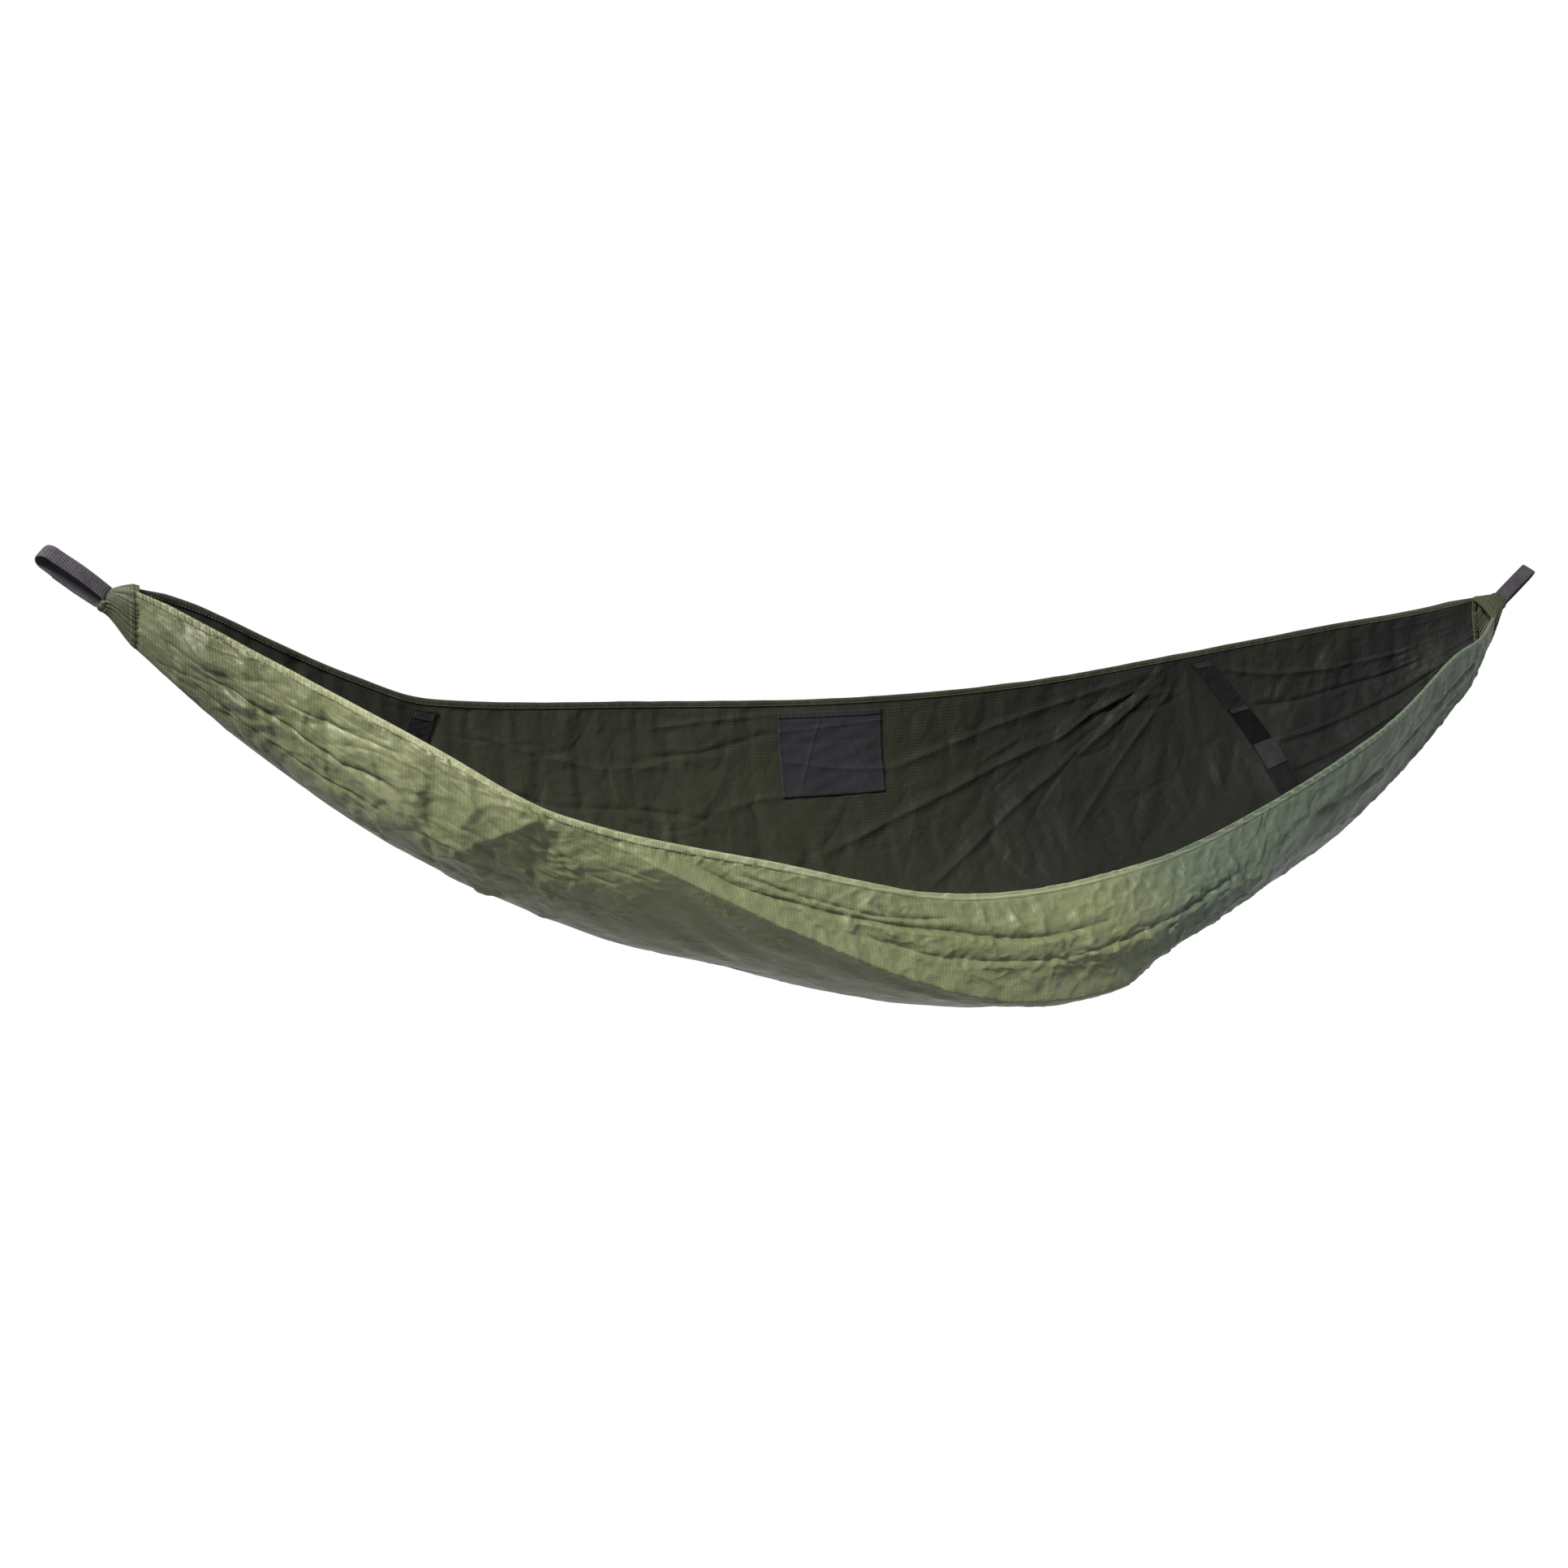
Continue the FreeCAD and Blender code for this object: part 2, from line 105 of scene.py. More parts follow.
def rail(points, x):
    """y and z of a rail at x: Catmull-Rom with uneven spacing."""
    p = np.array(points, float)
    last = len(p) - 1
    k = np.clip(np.searchsorted(p[:, 0], x, side="left") - 1, 0, last - 1)
    p1, p2 = p[k], p[k + 1]
    p0, p3 = p[np.maximum(k - 1, 0)], p[np.minimum(k + 2, last)]
    span = p2[..., 0] - p1[..., 0]
    t = (x - p1[..., 0]) / span
    out = []
    for a in (1, 2):
        m1 = (p2[..., a] - p0[..., a]) / (p2[..., 0] - p0[..., 0]) * span
        m2 = (p3[..., a] - p1[..., a]) / (p3[..., 0] - p1[..., 0]) * span
        out.append((2 * t ** 3 - 3 * t ** 2 + 1) * p1[..., a] + (t ** 3 - 2 * t ** 2 + t) * m1
                   + (-2 * t ** 3 + 3 * t ** 2) * p2[..., a] + (t ** 3 - t ** 2) * m2)
    return out


def wall(x, v):
    """Outer face of the bed: v runs from -1 at the front rim through the keel to 1 at the rear rim."""
    x, v = np.broadcast_arrays(np.asarray(x, float), np.asarray(v, float))
    keel_y, keel_z = rail(KEEL, x)
    rear_y, rear_z = rail(REAR_RIM, x)
    front_y, front_z = rail(FRONT_RIM, x)
    rear = v > 0
    rim_y, rim_z = np.where(rear, rear_y, front_y), np.where(rear, rear_z, front_z)
    angle = np.abs(v) * math.pi / 2
    t = np.minimum(1.0, np.abs(x - BELLY_CENTRE) / BELLY_REACH)
    reach = np.sin(angle) + np.where(rear, 0.0, FRONT_BELLY * (1 - t * t) ** 2 * np.sin(2 * angle))
    rise = 1 - np.cos(angle)
    return np.stack([x, keel_y + (rim_y - keel_y) * reach, keel_z + (rim_z - keel_z) * rise], -1)


def inward(x, v):
    """Unit vectors from the wall into the bed, square to the section."""
    step = 0.01
    along = wall(x, np.minimum(1.0, v + step)) - wall(x, np.maximum(-1.0, v - step))
    out = np.stack([np.zeros_like(along[..., 0]), -along[..., 2], along[..., 1]], -1)
    return out / np.linalg.norm(out, axis=-1, keepdims=True)


# the cross straps and the pocket, in design millimetres
STRAP_WIDE = 38.0
STRAP_THICK = 1.8
STRAP_DEPTH = LINING_IN + 1.4
STRAPS = {"left": (-757.0, -55.0), "right": (682.0, 120.0)}
STRAP_LEAN_V = 0.6
TAB_THICK = 2.2
RIM_CLEAR = 14.0
PILE_LONG = 112.0
ELASTIC_LONG = 78.0
TAB_LONG = 58.0
JOIN_GAP = 0.5
OVER_DEPTH = STRAP_DEPTH + STRAP_THICK + JOIN_GAP
POCKET_X = -46.0
POCKET_WIDE = 200.0
POCKET_TALL = 150.0
POCKET_BELOW = 16.0
POCKET_DEPTH = LINING_IN + 1.5
BINDING_TALL = 12.0


# ================================================================ folds and creases
NX, NV = ((860, 400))
XS = np.linspace(-BED_HALF, BED_HALF, NX)
VS = np.linspace(-1.0, 1.0, NV)
GX, GV = np.meshgrid(XS, VS, indexing="ij")
GS = GV * HALF_CUT
section = wall(XS[:, None], np.linspace(-1, 1, 41)[None, :])
half_at = np.linalg.norm(np.diff(section, axis=1), axis=-1).sum(1) / 2
NARROW = np.clip(half_at / HALF_CUT, 0.1, 1)[:, None]      # width of the cloth at each x, as a share
FOLD_STEPS = 60
NOISE_CELLS = 400
rng = np.random.default_rng(11)


def crest(q):
    """Ridge with a sharp top: 1 at 0, 0 from 1 on."""
    return np.clip(1 - np.abs(q), 0, 1) ** 2


def stamp(field, x, s, angle, long, wide, high, skew=1.0, bend=0.0):
    """Adds one crease, a valley if high is negative, of that length, width and height in mm."""
    reach = long + 2 * wide * max(skew, 1.0)
    i0, i1 = np.searchsorted(XS, (x - reach, x + reach))
    share = np.interp(x, XS, NARROW[:, 0])
    j0, j1 = np.searchsorted(VS, ((s - reach / share) / HALF_CUT, (s + reach / share) / HALF_CUT))
    if i1 - i0 < 2 or j1 - j0 < 2:
        return
    dx, ds = GX[i0:i1, j0:j1] - x, (GS[i0:i1, j0:j1] - s) * share
    a = dx * math.cos(angle) + ds * math.sin(angle)
    b = -dx * math.sin(angle) + ds * math.cos(angle) + bend * a * a
    q = np.where(b > 0, b / wide, b / (wide * skew))
    field[i0:i1, j0:j1] += high * crest(q) * np.clip(1 - (a / long) ** 2, 0, 1)


def scatter(field, count, xs, vs, angles, longs, wides, highs, both=True):
    """Many creases at random places in a patch of the cloth."""
    for _ in range(count):
        angle = math.radians(rng.normal(*angles))
        high = rng.uniform(*highs)
        if both and rng.random() < 0.5:
            high = -high
        stamp(field, rng.uniform(*xs), rng.uniform(*vs) * HALF_CUT, angle, rng.uniform(*longs),
              rng.uniform(*wides), high, rng.uniform(1.0, 3.0), rng.normal(0, 0.004))


def fold(field, points, wide_up, wide_down, high, taper=0.15):
    """A long fold through points (x, v). It falls off over one width towards the rear rim and over
    another towards the front rim, and fades at both ends."""
    pts = np.array([(x, v * HALF_CUT) for x, v in points], float)
    length = np.concatenate([[0], np.cumsum(np.hypot(*np.diff(pts, axis=0).T))])
    dense = np.linspace(0, length[-1], FOLD_STEPS)
    px, ps = np.interp(dense, length, pts[:, 0]), np.interp(dense, length, pts[:, 1])
    reach = max(wide_up, wide_down)
    i0, i1 = np.searchsorted(XS, (px.min() - reach, px.max() + reach))
    j0, j1 = np.searchsorted(VS, ((ps.min() - reach) / HALF_CUT, (ps.max() + reach) / HALF_CUT))
    x, s = GX[i0:i1, j0:j1], GS[i0:i1, j0:j1]
    best = np.full(x.shape, np.inf)
    place = np.zeros(x.shape)
    side = np.zeros(x.shape)
    for k in range(len(px) - 1):
        ex, es = px[k + 1] - px[k], ps[k + 1] - ps[k]
        t = np.clip(((x - px[k]) * ex + (s - ps[k]) * es) / (ex * ex + es * es), 0, 1)
        fx, fs = x - px[k] - t * ex, s - ps[k] - t * es
        d = np.hypot(fx, fs)
        near = d < best
        best = np.where(near, d, best)
        place = np.where(near, (k + t) / (len(px) - 1), place)
        side = np.where(near, np.sign(ex * fs - es * fx), side)
    flip = 1 if px[-1] >= px[0] else -1
    wide = np.where(side * flip > 0, wide_up, wide_down)
    ends = np.clip(np.minimum(place, 1 - place) / taper, 0, 1)
    field[i0:i1, j0:j1] += high * crest(best / wide) * ends * ends * (3 - 2 * ends)


def pleats(field, end, count, reaches, wides, highs):
    """Pleats that run out of a gathered end and fade along the bed."""
    off = (GX + BED_HALF) if end < 0 else (BED_HALF - GX)
    for k in range(count):
        v0 = -1 + 2 * (k + rng.uniform(0.2, 0.8)) / count
        drift = rng.normal(0, 0.05)
        t = np.clip(1 - off / rng.uniform(*reaches), 0, 1)
        q = (GV - v0 - drift * (1 - t)) / rng.uniform(*wides)
        sign = 1 if k % 2 else -1
        field += sign * rng.uniform(*highs) * crest(q) * t ** 1.3


def waves(field, amplitude, size, seed):
    """Soft uneven swells, so that no stretch of cloth is quite smooth."""
    r = np.random.default_rng(seed)
    total = np.zeros_like(field)
    for _ in range(9):
        a = r.uniform(0, math.pi)
        k = 2 * math.pi / (size * r.uniform(0.6, 1.6))
        warp = 0.8 * np.sin(GX * k * 0.37 * math.cos(a + 1) + GS * k * 0.41 * math.sin(a + 1)
                            + r.uniform(0, 6))
        total += np.sin((GX * math.cos(a) + GS * math.sin(a)) * k + r.uniform(0, 6) + warp)
    field += amplitude * total / 3


def smooth_step(value, low, high):
    t = np.clip((value - low) / (high - low), 0, 1)
    return t * t * (3 - 2 * t)


def between(table, i, j, a, b):
    """Values of a table between its entries: shares a and b of the way past i and j."""
    return ((1 - a) * (1 - b) * table[i, j] + a * (1 - b) * table[i + 1, j]
            + (1 - a) * b * table[i, j + 1] + a * b * table[i + 1, j + 1])


def value_noise(size_a, size_b, angle, seed):
    """Smooth random values, -1 to 1, on the whole grid, in cells of two sizes turned by an angle."""
    across = GS * NARROW
    a = (GX * math.cos(angle) + across * math.sin(angle)) / size_a + NOISE_CELLS / 2
    b = (-GX * math.sin(angle) + across * math.cos(angle)) / size_b + NOISE_CELLS / 2
    table = np.random.default_rng(seed).uniform(-1, 1, (NOISE_CELLS + 1, NOISE_CELLS + 1))
    i, j = a.astype(int) % NOISE_CELLS, b.astype(int) % NOISE_CELLS
    return between(table, i, j, smooth_step(a - np.floor(a), 0, 1), smooth_step(b - np.floor(b), 0, 1))


def crumple(field, size, stretch, degrees, high, seed, mask):
    """Crumpled cloth: a net of sharp creases between soft hollows, longer along one direction."""
    angle = math.radians(degrees)
    shape = value_noise(size * stretch, size, angle, seed)
    shape += 0.45 * value_noise(size * 0.55, size * 0.5, angle, seed + 1)
    ridge = np.clip(1 - 1.5 * np.abs(shape), 0, 1)
    field += high * (ridge * (0.4 + 0.6 * ridge) - 0.2) * mask


SHARED = np.zeros((NX, NV))      # outward, in mm, carried by both layers
OWN_OUTER = np.zeros((NX, NV))   # outward, on the outer cloth only
OWN_LINING = np.zeros((NX, NV))  # inward, on the lining only

# the long edge of the lit band that crosses the front wall
RIDGE = [(-623, -0.97), (-526, -0.88), (-378, -0.74), (-244, -0.65), (-61, -0.56), (120, -0.50),
         (260, -0.46)]
# long folds: points (x, v), width towards the rear rim, width towards the front rim, height, taper
FOLDS = [
    (RIDGE, 150, 70, 24.0, 0.12),
    ([(-536, -0.98), (-440, -0.86), (-318, -0.83), (-139, -0.86), (-8, -0.82), (150, -0.84)], 20, 26, -9.0),
    ([(-454, -0.93), (-355, -0.88), (-250, -0.87), (-120, -0.92)], 16, 18, -6.0),
    ([(-330, -0.77), (-150, -0.72), (40, -0.70), (240, -0.74), (420, -0.80)], 20, 30, -5.0),
    ([(-690, -1.0), (-715, -0.9), (-750, -0.74), (-790, -0.55), (-839, -0.24)], 60, 190, 19.0, 0.08),
    ([(-1120, -0.30), (-1000, -0.22), (-900, -0.24), (-800, -0.30), (-700, -0.36)], 90, 40, 8.0),
    ([(-1110, -0.62), (-1020, -0.66), (-930, -0.64), (-860, -0.70)], 30, 24, -8.0),
    ([(-1120, -0.45), (-1040, -0.42), (-960, -0.45), (-870, -0.50)], 26, 20, -6.0),
    ([(-1000, -0.80), (-930, -0.84), (-850, -0.90)], 24, 26, -5.0),
    ([(1130, -0.85), (980, -0.80), (800, -0.76), (640, -0.78), (500, -0.84)], 26, 30, -9.0),
    ([(1130, -0.62), (980, -0.60), (820, -0.56), (660, -0.58)], 30, 34, 8.0),
    ([(1140, -0.40), (1000, -0.40), (860, -0.38), (700, -0.42)], 22, 26, -7.0),
    ([(1140, -0.72), (1040, -0.68), (900, -0.66)], 14, 16, -5.0),
    ([(640, -0.90), (540, -0.82), (430, -0.70), (340, -0.55)], 40, 30, 5.0),
    # the rear wall: creases that run from the right cross strap, and a few level ones by the pocket
    ([(653, 0.97), (573, 0.92), (474, 0.87), (403, 0.81), (234, 0.75), (65, 0.68),
      (-106, 0.58)], 22, 16, -6.5),
    ([(640, 0.95), (500, 0.80), (340, 0.66), (180, 0.52), (60, 0.42)], 26, 18, -5.5),
    ([(650, 0.92), (560, 0.76), (470, 0.60), (380, 0.44)], 16, 20, -3.5),
    ([(640, 0.97), (480, 0.94), (320, 0.90), (160, 0.85), (20, 0.80), (-200, 0.74),
      (-330, 0.66)], 14, 18, -4.5),
    ([(-420, 0.92), (-300, 0.95), (-170, 0.97), (53, 0.97)], 12, 12, -3.0),
    ([(-420, 0.84), (-300, 0.86), (-170, 0.92), (53, 0.93)], 12, 16, 3.0),
    ([(-690, 0.70), (-560, 0.66), (-400, 0.68), (-240, 0.66)], 16, 18, 3.5),
    ([(-700, 0.90), (-600, 0.84), (-480, 0.80), (-340, 0.82)], 18, 18, -3.5),
    ([(700, 0.95), (820, 0.86), (940, 0.80), (1080, 0.74)], 18, 22, -5.0),
    ([(720, 0.80), (840, 0.72), (960, 0.68), (1100, 0.60)], 18, 22, 6.0),
    ([(760, 0.60), (880, 0.54), (1000, 0.50), (1120, 0.44)], 16, 22, -6.0),
    ([(800, 0.40), (940, 0.34), (1110, 0.28)], 16, 20, 5.0),
    ([(-740, 0.60), (-860, 0.55), (-980, 0.52), (-1100, 0.50)], 22, 26, 6.0),
    ([(-760, 0.85), (-880, 0.80), (-1000, 0.76), (-1110, 0.70)], 22, 18, -5.0),
]
for row in FOLDS:
    fold(SHARED, *row)

# finer creases that fan out of the top of the right cross strap
for k in range(16):
    along = rng.uniform(0.15, 0.9)
    x0, v0 = 640 - 500 * along * rng.uniform(0.5, 1.0), 0.97 - 0.42 * along * rng.uniform(0.4, 1.2)
    slope = math.atan2((v0 - 0.98) * HALF_CUT, x0 - 660)
    stamp(SHARED, x0, v0 * HALF_CUT, slope + rng.normal(0, 0.08), rng.uniform(40, 120), rng.uniform(5, 9),
          rng.uniform(1.4, 3.0) * (1 if k % 3 else -1), 2.0, rng.normal(0, 0.0012))

pleats(SHARED, -1, 24, (50, 230), (0.04, 0.09), (1.0, 4.0))
pleats(SHARED, 1, 26, (120, 620), (0.03, 0.08), (0.8, 3.4))

# where the cloth is crumpled: the left third, the band under the front rim, the right end, the rear wall
ridge_v = np.interp(XS, [p[0] for p in RIDGE], [p[1] for p in RIDGE])[:, None]
left_side = smooth_step(-GX, 640 - 150 * GV, 730 - 150 * GV) * smooth_step(-GV, 0.15, 0.50)
band_side = smooth_step(GX, -520, -380) * smooth_step(-GX, -620, -420)
band_side = band_side * smooth_step(ridge_v - GV, -0.06, 0.03)
right_side = smooth_step(GX, 380, 620) * smooth_step(-GV, 0.20, 0.55)
rear_side = smooth_step(GV, -0.1, 0.15)
facet_side = smooth_step(GX, -700, -560) * smooth_step(-GX, -260, 60)
facet_side = facet_side * smooth_step(GV - ridge_v, 0.0, 0.1) * (GV < 0)
# crumples: size in mm, stretch, direction in degrees, height, seed, mask
CRUMPLES = [
    (66, 1.9, 38, 6.0, 41, left_side),
    (50, 1.7, -52, 4.6, 43, left_side),
    (24, 1.6, 20, 1.5, 45, left_side),
    (46, 2.2, 78, 3.2, 47, band_side),
    (30, 1.8, -60, 2.0, 49, band_side),
    (17, 1.6, 60, 0.8, 51, band_side),
    (64, 3.8, 6, 2.6, 53, right_side),
    (26, 2.6, 40, 0.9, 55, right_side),
    (84, 2.4, 12, 3.0, 57, rear_side),
    (44, 2.4, 64, 1.2, 59, rear_side),
    (22, 1.6, 30, 0.5, 61, rear_side),
    (34, 2.4, 15, 0.4, 63, facet_side),
]
for row in CRUMPLES:
    crumple(SHARED, *row)

# the floor under the front wall hangs smooth
SHARED *= 1 - 0.7 * smooth_step(GV, -0.52, -0.28) * smooth_step(-GV, -0.34, -0.16)
waves(SHARED, 1.6, 260, 3)
waves(SHARED, 0.7, 90, 4)

# small creases: count, x range, v range, direction in degrees and its spread, length, width, height
CREASES = [
    (150, (-1130, -650), (-0.98, -0.15), (62, 24), (22, 60), (7, 16), (1.0, 3.2)),
    (110, (-1130, -650), (-0.98, -0.15), (-20, 22), (25, 90), (6, 15), (0.8, 3.0)),
    (260, (-1130, -640), (-0.99, -0.12), (30, 60), (12, 34), (4, 9), (0.4, 1.4)),
    (90, (-700, -560), (-0.98, -0.45), (20, 50), (16, 50), (5, 12), (0.6, 2.2)),
    (70, (-620, 100), (-0.60, -0.05), (10, 20), (20, 60), (4, 8), (0.15, 0.6)),
    (220, (-480, 560), (-0.99, -0.58), (78, 34), (14, 44), (5, 12), (0.6, 2.2)),
    (130, (-60, 480), (-0.80, -0.38), (65, 26), (18, 60), (5, 11), (0.6, 2.0)),
    (150, (300, 1130), (-0.99, -0.25), (55, 34), (16, 50), (5, 11), (0.4, 1.5)),
    (60, (500, 1130), (-0.95, -0.30), (0, 10), (50, 140), (7, 14), (0.8, 2.6)),
    (340, (-1100, 1120), (0.05, 0.98), (0, 60), (18, 60), (5, 12), (0.3, 1.2)),
    (60, (-740, 640), (0.25, 0.96), (8, 10), (50, 150), (7, 16), (0.6, 2.2)),
    (90, (-700, 900), (-0.30, 0.30), (0, 30), (30, 100), (6, 14), (0.5, 1.6)),
]
for row in CREASES:
    scatter(SHARED, *row)

# puckers square to the hems, where the sewing gathers the cloth
scatter(OWN_OUTER, 260, (-1100, -380), (-0.995, -0.955), (90, 16), (8, 18), (3.2, 6.0), (0.5, 1.5))
scatter(SHARED, 160, (-600, 1100), (-0.995, -0.95), (90, 20), (8, 22), (3.5, 7.0), (0.3, 1.1))
scatter(SHARED, 200, (-1100, 1100), (0.95, 0.995), (90, 20), (8, 20), (3.5, 7.0), (0.2, 0.8))
scatter(OWN_LINING, 500, (-1120, 1120), (-0.98, 0.98), (20, 60), (14, 50), (4, 10), (0.2, 0.8), both=False)


def sample(field, x, v):
    """Bilinear value of a field at places on the cloth."""
    fx = np.clip((np.asarray(x, float) + BED_HALF) / (2 * BED_HALF) * (NX - 1), 0, NX - 1.001)
    fv = np.clip((np.asarray(v, float) + 1) / 2 * (NV - 1), 0, NV - 1.001)
    i, j = fx.astype(int), fv.astype(int)
    return between(field, i, j, fx - i, fv - j)


# ================================================================ meshes
def make_object(name, verts, faces, uvs=None, tone=None):
    """A mesh object from arrays. All faces have the same number of corners."""
    mesh = bpy.data.meshes.new(name)
    faces = np.asarray(faces, np.int32)
    verts = np.asarray(verts, float)
    a, b, c = verts[faces[:, 0]], verts[faces[:, 1]], verts[faces[:, 2]]
    volume = np.einsum("ij,ij->i", a, np.cross(b, c)).sum()
    if faces.shape[1] == 4:
        d = verts[faces[:, 3]]
        volume += np.einsum("ij,ij->i", a, np.cross(c, d)).sum()
    if volume < 0:
        faces = faces[:, ::-1]
    mesh.vertices.add(len(verts))
    mesh.vertices.foreach_set("co", verts.astype(np.float32).ravel())
    mesh.loops.add(faces.size)
    mesh.loops.foreach_set("vertex_index", np.ascontiguousarray(faces).ravel())
    mesh.polygons.add(len(faces))
    mesh.polygons.foreach_set("loop_start", np.arange(0, faces.size, faces.shape[1], dtype=np.int32))
    mesh.update(calc_edges=True)
    mesh.validate()
    if uvs is not None:
        layer = mesh.uv_layers.new(name="UVMap")
        layer.data.foreach_set("uv", np.asarray(uvs, np.float32)[faces.ravel()].ravel())
    if tone is not None:
        attribute = mesh.attributes.new("tone", "FLOAT", "POINT")
        attribute.data.foreach_set("value", np.asarray(tone, np.float32).ravel())
    mesh.shade_smooth()
    obj = bpy.data.objects.new(name, mesh)
    bpy.context.scene.collection.objects.link(obj)
    return obj


def shell(near, far):
    """Vertices and faces of the closed shell between two grids of points of one size."""
    nu, nv = near.shape[:2]
    n = nu * nv
    index = np.arange(n).reshape(nu, nv)
    quads = np.stack([index[:-1, :-1], index[1:, :-1], index[1:, 1:], index[:-1, 1:]], -1).reshape(-1, 4)
    loop = np.concatenate([index[:, 0], index[-1, 1:], index[-2::-1, -1], index[0, -2:0:-1]])
    after = np.roll(loop, -1)
    side = np.stack([after, loop, loop + n, after + n], -1)
    verts = np.concatenate([near.reshape(-1, 3), far.reshape(-1, 3)])
    return verts, np.concatenate([quads, quads[:, ::-1] + n, side])


def ring_quads(a, b):
    """Faces between each ring of vertices in a and the one that follows it in b."""
    return np.stack([a, np.roll(a, -1, 1), np.roll(b, -1, 1), b], -1).reshape(-1, 4)


def both_sides(values, size=1):
    """Values for both faces of a shell, from those for one."""
    flat = values.reshape(-1, size)
    return np.concatenate([flat, flat])


def tube(rings):
    """Vertices and faces of a closed tube through rings of points, flat at both ends."""
    index = np.arange(rings[..., 0].size).reshape(rings.shape[:2])
    m = rings.shape[1]
    caps = []
    for ring, turn in ((index[0], -1), (index[-1], 1)):
        ring = ring[::turn]
        for k in range(m // 2 - 1):
            caps.append([ring[k], ring[k + 1], ring[m - 2 - k], ring[m - 1 - k]])
    return rings.reshape(-1, 3), np.concatenate([ring_quads(index[:-1], index[1:]), np.array(caps)])


def band(rings):
    """Vertices and faces of an endless tube: the last ring joins the first."""
    index = np.arange(rings[..., 0].size).reshape(rings.shape[:2])
    return rings.reshape(-1, 3), ring_quads(index, np.roll(index, -1, 0))


def join(parts):
    """One mesh from several lists of vertices and quads."""
    verts, faces, base = [], [], 0
    for v, f in parts:
        verts.append(v)
        faces.append(np.asarray(f) + base)
        base += len(v)
    return np.concatenate(verts), np.concatenate(faces)


def dashes(points, sides, ups, long, wide, high):
    """Stitches: one small spindle of thread at each point, lying along sides, proud along ups."""
    points, sides, ups = (np.asarray(a, float) for a in (points, sides, ups))
    sides = sides / np.linalg.norm(sides, axis=-1, keepdims=True)
    across = np.cross(sides, ups)
    across /= np.linalg.norm(across, axis=-1, keepdims=True)
    ups = np.cross(across, sides)
    m = 6
    profile = ((-0.5, 0.25), (-0.32, 0.85), (0.0, 1.0), (0.32, 0.85), (0.5, 0.25))
    rings = []
    for t, r in profile:
        ring = []
        for k in range(m):
            a = 2 * math.pi * k / m
            ring.append(points + sides * (t * long) + across * (r * wide / 2 * math.cos(a))
                        + ups * (r * high / 2 * math.sin(a)))
        rings.append(np.stack(ring, 1))
    rings = np.stack(rings, 1)
    _, faces = tube(rings[0])
    count, per = len(points), len(profile) * m
    every = (faces[None] + (np.arange(count) * per)[:, None, None]).reshape(-1, 4)
    return rings.reshape(-1, 3), every


# ================================================================ materials
def add_node(tree, kind, inputs=None, **settings):
    node = tree.nodes.new(kind)
    for key, value in settings.items():
        setattr(node, key, value)
    for key, value in (inputs or {}).items():
        if isinstance(value, bpy.types.NodeSocket):
            tree.links.new(value, node.inputs[key])
        else:
            node.inputs[key].default_value = value
    return node


def math_node(tree, operation, a, b=0.0):
    return add_node(tree, "ShaderNodeMath", {0: a, 1: b}, operation=operation).outputs[0]


def mix_colour(tree, factor, a, b):
    return add_node(tree, "ShaderNodeMix", {0: factor, 6: a, 7: b}, data_type="RGBA").outputs[2]


def grid_lines(tree, vector, pitch, share):
    """1 on the heavier threads of a ripstop grid, 0 between them."""
    parts = add_node(tree, "ShaderNodeSeparateXYZ", {0: vector})
    lines = []
    for k in (0, 1):
        scaled = math_node(tree, "MULTIPLY", parts.outputs[k], 1.0 / pitch)
        saw = math_node(tree, "PINGPONG", scaled, 0.5)
        lines.append(math_node(tree, "LESS_THAN", saw, share))
    return math_node(tree, "MAXIMUM", lines[0], lines[1])


def noise(tree, vector, scale, detail=4.0, rough=0.55):
    return add_node(tree, "ShaderNodeTexNoise", {"Vector": vector, "Scale": scale, "Detail": detail,
                                                 "Roughness": rough}).outputs["Fac"]


def ramp(tree, factor, low, high, a=0.0, b=1.0):
    return add_node(tree, "ShaderNodeMapRange", {0: factor, 1: low, 2: high, 3: a, 4: b}).outputs[0]


def crinkle(tree, vector, scale):
    """Crumpled-cloth height: the straight edges between the cells of a warped pattern."""
    warp = add_node(tree, "ShaderNodeTexNoise", {"Vector": vector, "Scale": scale * 0.6, "Detail": 2.0})
    moved = add_node(tree, "ShaderNodeVectorMath", {0: warp.outputs["Color"], 1: (0.5 / scale,) * 3},
                     operation="MULTIPLY").outputs[0]
    place = add_node(tree, "ShaderNodeVectorMath", {0: vector, 1: moved}, operation="ADD").outputs[0]
    return add_node(tree, "ShaderNodeTexVoronoi", {"Vector": place, "Scale": scale}).outputs["Distance"]


def new_material(name, ior, spec, sheen, sheen_rough):
    """A material, its node tree and its shader, with the gloss set."""
    material = bpy.data.materials.new(name)
    material.use_nodes = True
    shader = material.node_tree.nodes["Principled BSDF"]
    shader.inputs["IOR"].default_value = ior
    shader.inputs["Specular IOR Level"].default_value = spec
    shader.inputs["Sheen Weight"].default_value = sheen
    shader.inputs["Sheen Roughness"].default_value = sheen_rough
    return material, material.node_tree, shader


